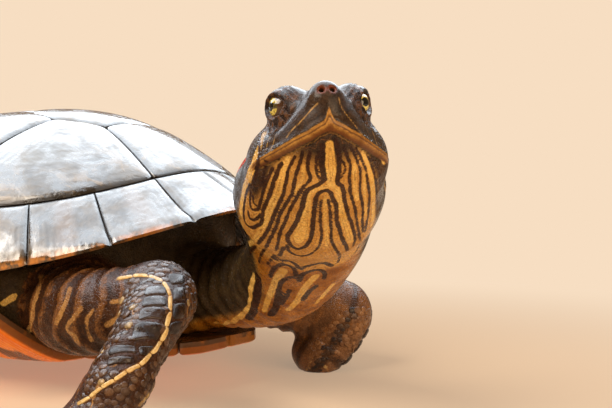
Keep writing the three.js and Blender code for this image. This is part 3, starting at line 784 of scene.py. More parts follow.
def finish_material(shader, colour, roughness, coat, height, depth_mm, strength):
    """Links the varying parts, where there are any; height is in shares of depth_mm."""
    tree = shader.id_data
    bump = node(tree, "ShaderNodeBump", Strength=strength, Distance=depth_mm * MM, Height=height).outputs[0]
    parts = {"Base Color": colour, "Roughness": roughness, "Coat Weight": coat, "Normal": bump}
    for name, socket in parts.items():
        if socket is not None:
            tree.links.new(socket, shader.inputs[name])


FLOAT, VECTOR = "NodeSocketFloat", "NodeSocketVector"


# %% Shared effects
def build_granules(tree, given):
    """Low rounded grains of skin, pressed against each other, in two sizes."""
    scale = calc("DIVIDE", 1000.0, given["Size"])
    where = given["Vector"]
    wobble = node(tree, "ShaderNodeTexNoise", Vector=where, Scale=times(scale, 0.4), Detail=2.0).outputs[1]
    moved = node(tree, "ShaderNodeMix", {"data_type": "VECTOR"}, _0=0.0012, _4=where, _5=wobble).outputs[1]
    cells = node(tree, "ShaderNodeTexVoronoi", {"feature": "DISTANCE_TO_EDGE"}, Vector=moved, Scale=scale)
    fine = node(tree, "ShaderNodeTexVoronoi", {"feature": "SMOOTH_F1"}, Vector=where,
                Scale=times(scale, 2.7), Smoothness=0.4)
    edge = cells.outputs["Distance"]
    height = minus(ramp(edge, 0.0, 0.32), times(fine.outputs["Distance"], 0.25))
    return {"Height": height, "Groove": ramp(edge, 0.0, 0.14, 1.0, 0.0)}


granules = group("granules", [("Vector", VECTOR, None), ("Size", FLOAT, 0.8)],
                 [("Height", FLOAT), ("Groove", FLOAT)], build_granules)


def build_film(tree, given):
    """Water that has drawn back into patches: low roughness where it lies, higher where it has dried."""
    scale = calc("DIVIDE", 1000.0, given["Size"])
    patches = node(tree, "ShaderNodeTexNoise", Vector=given["Vector"], Scale=scale, Detail=4.0, Roughness=0.6)
    wet = ramp(patches.outputs[0], 0.36, 0.62)
    rough = node(tree, "ShaderNodeMix", {"data_type": "FLOAT"}, _0=wet, _2=given["Dry"], _3=given["Wet"])
    return {"Roughness": rough.outputs[0], "Film": wet}


film = group(
    "wet_film", [("Vector", VECTOR, None), ("Size", FLOAT, 6.0), ("Wet", FLOAT, 0.15), ("Dry", FLOAT, 0.45)],
    [("Roughness", FLOAT), ("Film", FLOAT)], build_film)


def build_line(tree, given):
    """A mask from a distance in mm, less than 0 inside the line, with an edge that wanders a little."""
    wander = node(tree, "ShaderNodeTexNoise", Vector=given["Vector"], Scale=900.0, Detail=3.0).outputs[0]
    moved = plus(given["Distance"], times(minus(wander, 0.5), given["Ragged"]))
    share = calc("DIVIDE", moved, given["Soft"])
    return {"Mask": ramp(share, -1.0, 1.0, 1.0, 0.0)}


line = group(
    "stripe",
    [("Vector", VECTOR, None), ("Distance", FLOAT, 0.0), ("Soft", FLOAT, 0.1), ("Ragged", FLOAT, 0.3)],
    [("Mask", FLOAT)], build_line)


def stripe(where, name, soft, ragged):
    """Where a line runs, from the distance that is stored on the mesh under its name."""
    return use(line, Vector=where, Distance=tag(where.id_data, name), Soft=soft, Ragged=ragged)["Mask"]


def build_clouds(tree, given):
    """Cloudy pigment at two sizes, from 0 to 1."""
    scale = calc("DIVIDE", 1000.0, given["Size"])
    where = given["Vector"]
    wide = node(tree, "ShaderNodeTexNoise", Vector=where, Scale=scale, Detail=4.0, Roughness=0.6,
                Distortion=0.6)
    fine = node(tree, "ShaderNodeTexNoise", Vector=where, Scale=times(scale, 7.0), Detail=3.0)
    both = plus(times(wide.outputs[0], 0.7), times(fine.outputs[0], 0.3))
    return {"Value": ramp(both, 0.36, 0.64)}


clouds = group("pigment_clouds", [("Vector", VECTOR, None), ("Size", FLOAT, 12.0)], [("Value", FLOAT)],
               build_clouds)


def cloudy(where, size_mm):
    return use(clouds, Vector=where, Size=size_mm)["Value"]


print("shared effects:", [g.name for g in bpy.data.node_groups])

# %% [markdown]
# ### Horn of the shell
# Horn is smooth, dark and faintly see-through, and here it is wet. Growth lines follow the plate's own
# rings, fine wrinkles run out from the middle to the seams, and the seam itself holds dirt. Yellow bars
# that the young shell had are left as a dull glow.

# %% Horn for the large plates
plate_horn, tree, shader, where = new_material(
    "plate_horn", Coat_Weight=1.0, Coat_Roughness=0.09, Coat_IOR=1.45, Specular_IOR_Level=0.5)
edge, ring = tag(tree, "edge"), tag(tree, "ring")
cloud = cloudy(where, 14.0)
stretch = node(tree, "ShaderNodeMapping", Vector=where, Scale=(1.0, 0.28, 1.0)).outputs[0]
streak = noise(stretch, 4.0, 4.0, 0.62, 1.2)
growth = calc("SINE", plus(times(edge, 3.3), times(streak, 5.0)))
young = ramp(ring, 0.30, 0.36, 1.0, 0.0)
base = blend(cloud, (0.030, 0.022, 0.014), (0.085, 0.062, 0.034))
bars = times(ramp(streak, 0.52, 0.66), ramp(ring, 0.2, 0.95))
base = paint(base, bars, 0.55, (0.20, 0.125, 0.045))
base = paint(base, young, 0.35, (0.10, 0.085, 0.055))
groove = ramp(edge, 0.1, 1.3, 1.0, 0.0)
base = paint(base, groove, 0.85, (0.006, 0.005, 0.004))
water = use(film, Vector=where, Size=9.0, Wet=0.14, Dry=0.46)
crackle = noise(where, 0.7, 4.0, 0.6)
height = plus(times(growth, 0.10), times(streak, 1.5))
height = plus(height, times(crackle, 0.30))
coat = ramp(water["Film"], 0.0, 1.0, 0.4, 1.0)
finish_material(shader, base, water["Roughness"], coat, height, 0.35, 0.7)
print("plate horn uses", len(tree.nodes), "nodes")

# %% Horn of the rim
rim_horn, tree, shader, where = new_material(
    "rim_horn", Coat_Weight=1.0, Coat_Roughness=0.09, Coat_IOR=1.45)
edge, across, along = tag(tree, "edge"), tag(tree, "across"), tag(tree, "along")
cloud = cloudy(where, 9.0)
stretch = node(tree, "ShaderNodeMapping", Vector=where, Scale=(1.0, 1.0, 0.4)).outputs[0]
streak = noise(stretch, 3.2, 4.0, 0.6, 0.8)
base = blend(cloud, (0.030, 0.021, 0.013), (0.080, 0.055, 0.028))
middle = ramp(calc("ABSOLUTE", minus(along, 0.5)), 0.05, 0.2, 1.0, 0.0)
base = paint(base, middle, 0.25, (0.20, 0.10, 0.025))
lip = times(ramp(across, 0.92, 1.02), ramp(across, 2.3, 2.4, 1.0, 0.0))
lip_break = ramp(plus(cloud, times(middle, 0.5)), 0.25, 0.95)
base = blend(times(lip, lip_break), base, (0.46, 0.165, 0.018))
spot = times(ramp(across, 1.02, 1.12), ramp(cloud, 0.5, 0.62))
base = paint(base, spot, 0.8, (0.055, 0.028, 0.015))
groove = ramp(edge, 0.1, 1.1, 1.0, 0.0)
base = paint(base, groove, 0.8, (0.006, 0.005, 0.004))
water = use(film, Vector=where, Size=7.0, Wet=0.14, Dry=0.45)
growth = calc("SINE", plus(times(edge, 3.6), times(streak, 5.0)))
height = plus(times(growth, 0.12), times(streak, 1.4))
finish_material(shader, base, water["Roughness"], ramp(water["Film"], 0.0, 1.0, 0.4, 1.0), height, 0.3, 0.7)

# %% Horn of the plastron
plastron_horn, tree, shader, where = new_material(
    "plastron_horn", Coat_Weight=0.08, Coat_Roughness=0.15, Specular_IOR_Level=0.15)
edge, ring = tag(tree, "edge"), tag(tree, "ring")
cloud = cloudy(where, 16.0)
base = blend(cloud, (0.74, 0.160, 0.006), (0.88, 0.29, 0.018))
blotch = times(ramp(ring, 0.42, 0.52, 1.0, 0.0), ramp(noise(where, 7.0), 0.38, 0.5))
base = paint(base, blotch, 0.85, (0.035, 0.022, 0.014))
base = blend(ramp(edge, 0.1, 0.9, 0.8, 0.0), base, (0.05, 0.025, 0.01))
water = use(film, Vector=where, Size=10.0, Wet=0.22, Dry=0.5)
growth = calc("SINE", times(edge, 4.2))
height = plus(times(growth, 0.25), noise(where, 3.0, 4.0))
finish_material(shader, base, water["Roughness"], None, height, 0.25, 0.7)

# %% [markdown]
# ## The shell
# A slider's shell is bone under a thin layer of horn, and the horn grows as separate plates: five down
# the middle, four down each side, and a ring of small ones round the rim. Each plate is a shallow
# cushion that dips into the seam at its edge. It is built as rings round the place where the plate
# began to grow, so the same rings can carry the growth lines later.

# %% The rim and the plan of the plates
def rim_table(count=721):
    turn = np.linspace(0, np.pi, count)
    direction = np.stack([np.sin(turn), -np.cos(turn)], 1)
    low, high = np.zeros(count), np.full(count, 200.0)
    for _ in range(40):
        middle = (low + high) / 2
        inside = rim_share(direction[:, 0] * middle, direction[:, 1] * middle) < 1
        low, high = np.where(inside, middle, low), np.where(inside, high, middle)
    points = direction * low[:, None]
    length = np.concatenate([[0], np.cumsum(np.linalg.norm(np.diff(points, axis=0), axis=1))])
    return length / length[-1], points, length[-1]


RIM_ALONG, RIM_POINTS, RIM_LENGTH = rim_table()


def rim_point(along, scale, side):
    """A point at a share of the half rim from the neck to the tail; negative shares are past the neck."""
    along, scale = np.broadcast_arrays(np.asarray(along, float), np.asarray(scale, float))
    x = np.interp(np.abs(along), RIM_ALONG, RIM_POINTS[:, 0]) * np.where(along < 0, -1, 1)
    y = np.interp(np.abs(along), RIM_ALONG, RIM_POINTS[:, 1])
    return np.stack([x * scale * side, y * scale], -1)


def seam_scale(along):
    p = rim_point(along, 1.0, 1)
    return seam_share(p[..., 0], p[..., 1])


def surface_point(height, x, y, depth, facing=1):
    """A point of z = height(x, y) moved by depth against the side that faces out."""
    step = 0.4
    slope_x = (height(x + step, y) - height(x - step, y)) / (2 * step)
    slope_y = (height(x, y + step) - height(x, y - step)) / (2 * step)
    normal = unit(np.stack([-slope_x, -slope_y, np.ones_like(slope_x)], -1)) * facing
    return np.stack([x, y, height(x, y)], -1) - normal * np.asarray(depth)[..., None]


MARGINAL_WIDTHS = [5, 21, 20, 19, 18, 19, 20, 20, 20, 20, 19, 18, 15]
MARGINAL_ENDS = np.cumsum(MARGINAL_WIDTHS) / np.sum(MARGINAL_WIDTHS)
VERTEBRAL_ENDS, VERTEBRAL_END_HALF = [-69, -42, -10, 23, 52, 72], [0, 15, 15, 14, 10, 0]
VERTEBRAL_CORNER_Y, VERTEBRAL_CORNER_HALF = [0, -27, 6, 38], [0, 21, 21.5, 19]
COSTAL_FEET = [MARGINAL_ENDS[1]] + [(MARGINAL_ENDS[i] + MARGINAL_ENDS[i + 1]) / 2 for i in (4, 6, 8, 10)]


def seam_points(start, end, side, steps):
    along = np.linspace(start, end, steps + 1)
    return rim_point(along, seam_scale(along), side)


def vertebral_outline(index):
    front, rear = VERTEBRAL_ENDS[index : index + 2]
    front_half, rear_half = VERTEBRAL_END_HALF[index : index + 2]
    first, last = COSTAL_FEET[0], COSTAL_FEET[4]
    if index == 0:
        edge = np.vstack([seam_points(first, 0, -1, 6), seam_points(0, first, 1, 6)[1:]])
        return np.vstack([edge, [[rear_half, rear], [-rear_half, rear]]])
    if index == 4:
        edge = np.vstack([seam_points(last, 1, 1, 6), seam_points(1, last, -1, 6)[1:]])
        return np.vstack([[[-front_half, front], [front_half, front]], edge])
    y, half = VERTEBRAL_CORNER_Y[index], VERTEBRAL_CORNER_HALF[index]
    return np.array([[-front_half, front], [front_half, front], [half, y],
                     [rear_half, rear], [-rear_half, rear], [-half, y]], float)


def costal_outline(index, side):
    inner = [[VERTEBRAL_CORNER_HALF[index], VERTEBRAL_CORNER_Y[index]]] if index > 0 else []
    inner.append([VERTEBRAL_END_HALF[index + 1], VERTEBRAL_ENDS[index + 1]])
    if index < 3:
        inner.append([VERTEBRAL_CORNER_HALF[index + 1], VERTEBRAL_CORNER_Y[index + 1]])
    outer = seam_points(COSTAL_FEET[index + 1], COSTAL_FEET[index], side, 12)
    return np.vstack([np.array(inner, float) * [side, 1], outer])


PLASTRON = {
    "gular": [[0, -75], [13, -75], [20, -71], [0, -60]],
    "humeral": [[0, -60], [20, -71], [29, -61], [33, -48], [0, -46]],
    "pectoral": [[0, -46], [33, -48], [57, -38], [61, -30], [62.5, -20], [0, -23]],
    "abdominal": [[0, -23], [62.5, -20], [63.5, 0], [63.5, 22], [58, 33], [38, 38], [35, 30], [0, 19]],
    "femoral": [[0, 19], [35, 30], [36, 42], [33, 57], [0, 47]],
    "anal": [[0, 47], [33, 57], [27, 73], [19, 82], [12, 83], [0, 74]],
}
print("half the rim is", round(RIM_LENGTH), "mm round")


# %% One plate as rings round the spot where it began
def turn_left(outline):
    x, y = outline[:, 0], outline[:, 1]
    area = np.sum(x * np.roll(y, -1) - np.roll(x, -1) * y)
    return outline if area > 0 else outline[::-1]


def inset_outline(outline, distance):
    ahead, behind = np.roll(outline, -1, 0), np.roll(outline, 1, 0)
    a, b = unit(outline - behind), unit(ahead - outline)
    left_a = np.stack([-a[:, 1], a[:, 0]], 1)
    normal = unit(np.stack([-a[:, 1] - b[:, 1], a[:, 0] + b[:, 0]], 1))
    spread = np.clip((normal * left_a).sum(1), 0.5, None)
    return outline + normal * (distance / spread)[:, None]


def divide_outline(outline, spacing):
    out = []
    for p, q in zip(outline, np.roll(outline, -1, 0)):
        steps = max(1, math.ceil(np.linalg.norm(q - p) / spacing))
        out += [p + (q - p) * n / steps for n in range(steps)]
    return np.array(out)


def edge_distance(points, outline):
    best = np.full(len(points), 1e9)
    for p, q in zip(outline, np.roll(outline, -1, 0)):
        edge = q - p
        t = np.clip((points - p) @ edge / max(edge @ edge, 1e-9), 0, 1)
        best = np.minimum(best, np.linalg.norm(points - p - t[:, None] * edge, axis=1))
    return best


EDGE_STEPS = [0, 0.22, 0.5, 0.9, 1.5, 2.4, 3.8]
INNER_SHARES = [0.86, 0.72, 0.58, 0.44, 0.3, 0.15]


def plate_grid(outline, height, facing, focus, swell):
    """Points, faces and attributes of one plate; focus is where its growth rings centre."""
    edge = divide_outline(inset_outline(turn_left(outline), GAP / 2), 1.6)
    edge = 0.25 * np.roll(edge, 1, 0) + 0.5 * edge + 0.25 * np.roll(edge, -1, 0)  # softer corners
    focus = np.asarray(focus, float)
    reach = np.linalg.norm(edge - focus, axis=1)[:, None]
    way = (edge - focus) / reach
    plan = [edge - way * step for step in EDGE_STEPS]
    plan += [focus + way * (reach - EDGE_STEPS[-1]) * share for share in INNER_SHARES]
    rings, shares = [], []
    for q in plan:
        away = edge_distance(q, edge)
        share = np.linalg.norm(q - focus, axis=1) / reach[:, 0]
        dip = 0.8 * np.exp(-away / 0.75) - swell * (1 - share**3)
        rings.append(surface_point(height, *q.T, dip, facing))
        shares.append(np.stack([away, share], 1))
    middle = surface_point(height, *focus, -swell, facing)
    under = [surface_point(height, *q.T, PLATE, facing) for q in (edge, focus + (edge - focus) * 0.5)]
    deep = surface_point(height, *focus, PLATE, facing)
    count = len(edge)
    order = [*under[::-1], *rings]
    points = np.vstack([deep, *order, middle])
    faces = closed_rings(len(order), count)
    if facing < 0:
        faces = [face[::-1] for face in faces]
    outer = np.vstack([np.zeros((1 + 2 * count, 2)), *shares, [[float(reach.min()), 0.0]]])
    return stand(points), faces, {"edge": outer[:, 0], "ring": outer[:, 1]}


def join_grids(grids):
    """Several closed shells as one list of points, faces and attributes."""
    points, faces, tags, offset = [], [], {}, 0
    for p, f, t in grids:
        points.append(p)
        faces += [tuple(i + offset for i in face) for face in f]
        offset += len(p)
        for key, values in t.items():
            tags.setdefault(key, []).append(values)
    return np.vstack(points), faces, {key: np.concatenate(values) for key, values in tags.items()}


# %% A plate of the rim: one cross-section swept along
RIM_RADIUS = 78.0  # a middling distance from the shell's middle to its rim, in mm


def marginal_grid(start, end, side):
    """Points, faces and attributes of the plate between two shares of the rim."""
    half = GAP / 2 / RIM_LENGTH
    edge_mm = np.array([0, 0.25, 0.6, 1.1, 1.9])
    width = (end - start) * RIM_LENGTH - GAP
    steps = np.concatenate([edge_mm, np.linspace(3.0, width - 3.0, 9), width - edge_mm[::-1]])
    along = start + half + steps / RIM_LENGTH
    side_gap = np.minimum(steps, width - steps)
    seam = seam_scale(along)
    rear = np.clip(-frontness(*rim_point(along, 1.0, 1).T), 0, 1)
    saw = 0.9 * rear * (steps / width - 0.5)  # the rear rim is faintly toothed
    rows, tags = [], []
    for t in np.concatenate([[0, 0.012, 0.03, 0.06], np.linspace(0.12, 0.9, 9), [0.96, 1.0]]):
        scale = seam + 0.004 + (1.0 - seam - 0.004) * t
        q = rim_point(along, scale, side)
        seam_gap = t * (1 - seam) * RIM_RADIUS
        dip = 0.75 * np.exp(-np.minimum(side_gap, seam_gap) / 0.75) - 0.3 * np.sin(np.pi * t)
        p = surface_point(dome_height, *(q * 0.9985).T, dip)
        p[:, :2] += unit(q) * (saw * smoothstep(0.6, 1.0, t))[:, None]
        p[:, 2] -= 1.1 * smoothstep(0.9, 1.0, t) ** 2
        rows.append(p)
        tags.append(np.stack([np.minimum(side_gap, seam_gap), np.full(len(along), t)], 1))
    rim = rim_point(along, 0.999, side)
    rim_z = rim_height(*rim.T)
    for t, scale, drop in ((1.08, 0.992, 1.9), (1.2, 0.975, 2.0), (1.45, 0.94, 1.4)):
        q = rim_point(along, scale, side) + unit(rim) * (saw * (1.6 - t))[:, None]
        rows.append(np.column_stack([q, rim_z - drop + 0.25 * np.exp(-side_gap / 0.75)]))
        tags.append(np.stack([side_gap, np.full(len(along), t)], 1))
    inner = rim_point(along, seam + (1 - seam) * 0.42, side)
    rows.append(np.column_stack([inner, rim_z + 0.2]))
    tags.append(np.stack([side_gap, np.full(len(along), 2.0)], 1))
    rows.append(surface_point(dome_height, *rim_point(along, seam + 0.004, side).T, PLATE))
    tags.append(np.stack([side_gap * 0, np.full(len(along), 2.4)], 1))
    sections = np.stack(rows, 1)
    count, ring = sections.shape[:2]
    points = sections.reshape(-1, 3)
    faces = grid_faces(count, ring)
    ends = []
    for row, turn in ((0, 1), (count - 1, -1)):
        ends.append(sections[row].mean(0))
        for j in range(ring):
            k = (j + 1) % ring
            face = (len(points) + len(ends) - 1, row * ring + k, row * ring + j)
            faces.append(face[::turn])
    points = np.vstack([points, *ends])
    tag = np.vstack([np.stack(tags, 1).reshape(-1, 2), [[0, 2.4]] * 2])
    if side < 0:
        faces = [face[::-1] for face in faces]
    share = np.concatenate([np.repeat(steps / width, ring), [0, 1]])
    return stand(points), faces, {"edge": tag[:, 0], "across": tag[:, 1], "along": share}

# %% Make the shell
def shell_piece(name, grids, material, nodes):
    points, faces, tags = join_grids(grids)
    piece = make_piece(name, points, faces, material, tags, sharp_angle=50)
    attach(piece, "root")
    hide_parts(*nodes)
    print(name, len(grids), "plates,", len(faces), "faces")


vertebral_grids = []
for i in range(5):
    outline = vertebral_outline(i)
    focus = [0.0, outline[:, 1].mean() * 0.45 + (VERTEBRAL_ENDS[i + 1] - 6) * 0.55]
    vertebral_grids.append(plate_grid(outline, dome_height, 1, focus, 0.35))
shell_piece("plates_vertebral", vertebral_grids, plate_horn, [f"vertebral_{i + 1}" for i in range(5)])
for word, side in (("left", 1), ("right", -1)):
    costal_grids = []
    for i in range(4):
        outline = costal_outline(i, side)
        (inner, front), (outer, rear) = (outline * [side, 1]).min(0), (outline * [side, 1]).max(0)
        focus = [side * (inner * 0.55 + outer * 0.45), front * 0.42 + rear * 0.58]
        costal_grids.append(plate_grid(outline, dome_height, 1, focus, 0.5))
    costal_names = [f"costal_{word}_{i + 1}" for i in range(4)]
    shell_piece(f"plates_costal_{word}", costal_grids, plate_horn, costal_names)
    marginal_grids = [marginal_grid(start, end, side) for start, end in zip(MARGINAL_ENDS, MARGINAL_ENDS[1:])]
    nodes = [f"marginal_{word}_{i + 1}" for i in range(12)]
    if side > 0:
        marginal_grids.append(marginal_grid(-MARGINAL_ENDS[0], MARGINAL_ENDS[0], 1))
        nodes.append("nuchal")
    shell_piece(f"plates_marginal_{word}", marginal_grids, rim_horn, nodes)
    outlines = [np.array(corners, float) * [side, 1] for corners in PLASTRON.values()]
    plastron_grids = [plate_grid(o, plastron_height, -1, o.mean(0), 0.15) for o in outlines]
    plastron_names = [f"{name}_{word}" for name in PLASTRON]
    shell_piece(f"plates_plastron_{word}", plastron_grids, plastron_horn, plastron_names)

# %% [markdown]
# ## Where the camera stands
# The throat and the right foreleg carry long curved lines, and such lines are easiest to draw as they
# are seen from one place. So the camera's place and directions come first. A line is drawn as points in
# the view, and each point is sent along its ray until it meets the flesh. From then on the line lies on
# the animal, and looks right from every other side too.

# %% The camera's place and directions
VIEW_WIDTH, VIEW_HEIGHT, FOCAL_PIXELS = 612, 408, 836.408
CAMERA_PLACE = np.array([-203.19, -213.668, 51.804])  # in mm, seen from the shell's own middle
camera_turn, camera_rise, camera_roll = np.radians([-60.649, 0.6155, 0.668])
CAMERA_AHEAD = np.array([-math.sin(camera_turn) * math.cos(camera_rise),
                         math.cos(camera_turn) * math.cos(camera_rise), math.sin(camera_rise)])
level_right = np.array([math.cos(camera_turn), math.sin(camera_turn), 0.0])
level_up = np.cross(level_right, CAMERA_AHEAD)
CAMERA_RIGHT = level_right * math.cos(camera_roll) + level_up * math.sin(camera_roll)
CAMERA_UP = level_up * math.cos(camera_roll) - level_right * math.sin(camera_roll)


def cast(picks, start=90.0, end=300.0, tolerance=0.03):
    """Points of the flesh seen at places in the view, given in pixels; nan where the ray passes by."""
    picks = np.asarray(picks, float)
    rays = unit(CAMERA_AHEAD + np.outer(picks[:, 0] - VIEW_WIDTH / 2, CAMERA_RIGHT) / FOCAL_PIXELS
                - np.outer(picks[:, 1] - VIEW_HEIGHT / 2, CAMERA_UP) / FOCAL_PIXELS)
    reach, met = np.full(len(picks), start), np.zeros(len(picks), bool)
    live = np.arange(len(picks))
    while len(live):
        gap = flesh(CAMERA_PLACE + rays[live] * reach[live, None])
        there = np.abs(gap) < tolerance
        met[live[there]] = True
        live, gap = live[~there], gap[~there]
        reach[live] += np.maximum(gap * 0.7, tolerance)
        live = live[reach[live] < end]
    return np.where(met[:, None], CAMERA_PLACE + rays * reach[:, None], np.nan)


def lay_lines(lines):
    """Lines drawn in the view, laid on the flesh. Half-widths are in pixels before, and in mm after."""
    found = cast([pick for _, _, picks in lines.values() for pick in picks])
    laid, start = {}, 0
    for name, (half_start, half_end, picks) in lines.items():
        points = found[start : start + len(picks)]
        start += len(picks)
        points = points[~np.isnan(points[:, 0])]
        mm_per_pixel = (points - CAMERA_PLACE) @ CAMERA_AHEAD / FOCAL_PIXELS
        laid[name] = (half_start * mm_per_pixel[0], half_end * mm_per_pixel[-1], points)
    return laid


print("a pixel is", round(float(np.linalg.norm(SNOUT - CAMERA_PLACE)) / FOCAL_PIXELS, 3), "mm at the snout")

# %% [markdown]
# ## Markings
# The throat of a slider is golden, with dark lines that run in loops round the middle of the chin.
# Every point of the skin learns its distance to the nearest line, and the finish draws the line where
# that distance is small. So a line stays sharp although the mesh is coarser than the line. Each line
# has its half-width at both ends and a few points, in pixels of the view, joined by a smooth curve.

# %% Dark lines of the throat and the side of the neck
DARK_LINES = lay_lines({
    "outer_loop": (1.9, 2.2, [(249.5, 184), (245.5, 195), (244, 205), (243.5, 215), (245, 222.5),
     (250.5, 227.5), (256, 226.5), (261.5, 222.5), (262.5, 217), (263, 210), (266, 203.5), (269.5, 195),
     (272, 188), (274, 180.5), (277, 173.5), (279, 167), (281.5, 163.5)]),
    "second_loop": (1.6, 1.9, [(250.5, 191.5), (250, 200.5), (251, 208.5), (254, 210), (258, 209),
     (260, 202.5), (262.5, 194.5), (264, 188), (267, 180.5), (269.5, 174.5), (272.5, 168.5)]),
    "third_arc": (1.6, 1.6, [(248, 211.5), (249.5, 218), (253.5, 220), (258, 217.5), (260.5, 214.5)]),
    "inner_bit": (1.4, 1.4, [(253, 196), (253.5, 203), (256.5, 205.5)]),
    "cheek_dark": (2.0, 2.0, [(262, 131), (259, 146), (258, 160), (257, 168), (255.5, 175), (253.5, 182)]),
    "cheek_thin": (1.4, 1.6, [(265.5, 166), (263.5, 176), (261, 186)]),
    "left_3": (1.6, 1.9, [(295, 157), (291.5, 162.5), (288, 170.5), (286.5, 179), (285, 186), (283, 195),
     (278.5, 205), (275, 212.5), (272.5, 219), (269.5, 226), (266, 233.5), (260.5, 240.5), (253, 249),
     (249.5, 253.5)]),
    "left_2": (1.7, 1.6, [(302.5, 152), (300, 163), (297, 171.5), (295, 179), (293.5, 187), (291.5, 195),
     (288, 200.5), (283.5, 208), (279.5, 216), (277, 224.5), (273.5, 232.5), (269.5, 240), (267, 245.5),
     (263.5, 250.5), (260.5, 257), (258.5, 262.5)]),
    "left_1": (1.8, 1.5, [(310, 152), (308, 162.5), (308, 170.5), (310.5, 178), (308, 182.5), (303.5, 187),
     (298.5, 194.5), (294, 202.5), (290.5, 209), (287, 217), (284, 224.5), (280.5, 231.5), (278.5, 240),
     (277, 247), (274, 255.5), (270.5, 260.5), (267, 264.5)]),
    "left_0": (1.2, 1.2, [(317.5, 152), (316, 164), (317, 173.5), (319, 180)]),
    "beside_median": (2.4, 1.8, [(324, 134), (323, 146), (322.5, 158), (322, 166), (324, 176), (324, 180.5),
     (319, 184.5), (313.5, 187), (310.5, 188.5), (307, 191.5), (304, 198), (302.5, 206), (299.5, 213.5),
     (297, 220.5), (292.5, 229), (288, 235.5), (288.5, 241.5), (292.5, 247), (298.5, 249), (305, 246.5),
     (309.5, 241.5), (312, 233.5), (313, 223.5), (314, 212), (315.5, 200.5), (317, 195.5), (321.5, 191.5),
     (327, 190.5), (330.5, 193), (332.5, 198), (335.5, 203.5), (336.5, 211.5), (337, 220.5), (339.5, 230),
     (342.5, 239), (346, 246), (347.5, 251)]),
    "nested_u": (1.4, 1.5, [(321.5, 200), (320.5, 210), (320.5, 220), (321, 230), (321.5, 237),
     (319, 245.5), (315.5, 250.5), (308, 255), (300, 256), (294, 254.5), (289.5, 251.5), (287, 245.5)]),
    "right_in": (1.3, 1.6, [(328, 200), (330, 210), (330.5, 220), (331, 230), (331.5, 240), (334.5, 247),
     (338.5, 253.5), (339.5, 258), (338, 262.5)]),
    "right_1": (2.6, 1.4, [(335.5, 140), (338.5, 155), (339, 170), (337.5, 179), (338, 183.5), (342, 186),
     (343.5, 191.5), (344.5, 199), (346.5, 207), (348.5, 215.5), (351.5, 223.5), (354, 232.5), (355, 240.5),
     (353.5, 246)]),
    "right_1b": (1, 0.9, [(341, 160), (344.5, 164), (345.5, 168), (343.5, 174), (341.5, 178)]),
    "right_2": (1.7, 1.2, [(344, 148), (348, 158), (350.5, 167), (349.5, 176), (350, 184.5), (350.5, 192.5),
     (352.5, 200.5), (355.5, 210), (356.5, 219), (358, 228), (359.5, 237), (359, 246), (355.5, 252.5),
     (351.5, 257)]),
    "right_3": (1.3, 1.5, [(350.5, 147), (354.5, 154.5), (358, 162.5), (360, 170.5), (360.5, 179),
     (360, 187), (361, 196), (362.5, 205), (363, 214.5), (362.5, 220.5), (363, 232)]),
    "right_4": (1.2, 1.5, [(356, 148), (359, 153.5), (362.5, 161.5), (366, 169), (367, 178), (368.5, 187),
     (369.5, 196), (369, 205), (368.5, 214.5), (367, 222), (365, 232)]),
    "right_5": (1.4, 1.2, [(367, 155), (370.5, 161.5), (373.5, 170.5), (375.5, 179), (376.5, 187),
     (377, 197), (377.5, 205), (377, 214.5), (377, 221.5)]),
    "right_6": (1.1, 1.1, [(372, 158), (375.5, 164.5), (379, 172.5), (380.5, 182.5), (380.5, 191.5),
     (381, 200.5), (380.5, 212.5)]),
    "left_4": (2.0, 2.2, [(283.5, 247.5), (280.5, 254), (276, 260)]),
    "wave": (2.3, 2.4, [(281.5, 260.5), (289, 261), (294.5, 263.5), (300.5, 269), (306.5, 266.5),
     (314.5, 264.5), (323.5, 263), (332, 266)]),
    "pin_left": (2.4, 2.3, [(270, 277), (273, 270), (278, 266), (284.5, 264.5), (290.5, 266.5), (295, 271),
     (295.5, 276)]),
    "pin_left_in": (2.4, 2.6, [(293, 277), (287, 278.5), (282, 281.5), (279.5, 286), (279, 291)]),
    "pin_right": (2.6, 2.3, [(299, 281), (303.5, 274), (311, 271), (319, 270), (324.5, 273), (324, 279)]),
    "face_left": (1.3, 1.3, [(283, 131), (279, 139), (277.5, 147), (272, 156), (266, 162)]),
    "face_left_2": (1, 1, [(272.5, 132), (269.5, 140), (267, 150), (264.5, 160)]),
    # broad bands at the root of the neck
    "base_1": (5, 4, [(258, 277), (258, 290), (255.5, 302), (253.5, 311), (249, 318)]),
    "base_2": (3.4, 3.6, [(279, 291), (278, 298), (276, 307), (271, 315)]),
    "base_3": (2.8, 3, [(316, 286), (309, 292), (303, 300)]),
    "base_4": (2.4, 2.8, [(290, 290), (286, 297), (281, 304)]),
})
print(len(DARK_LINES), "dark lines of the throat and the side of the neck")

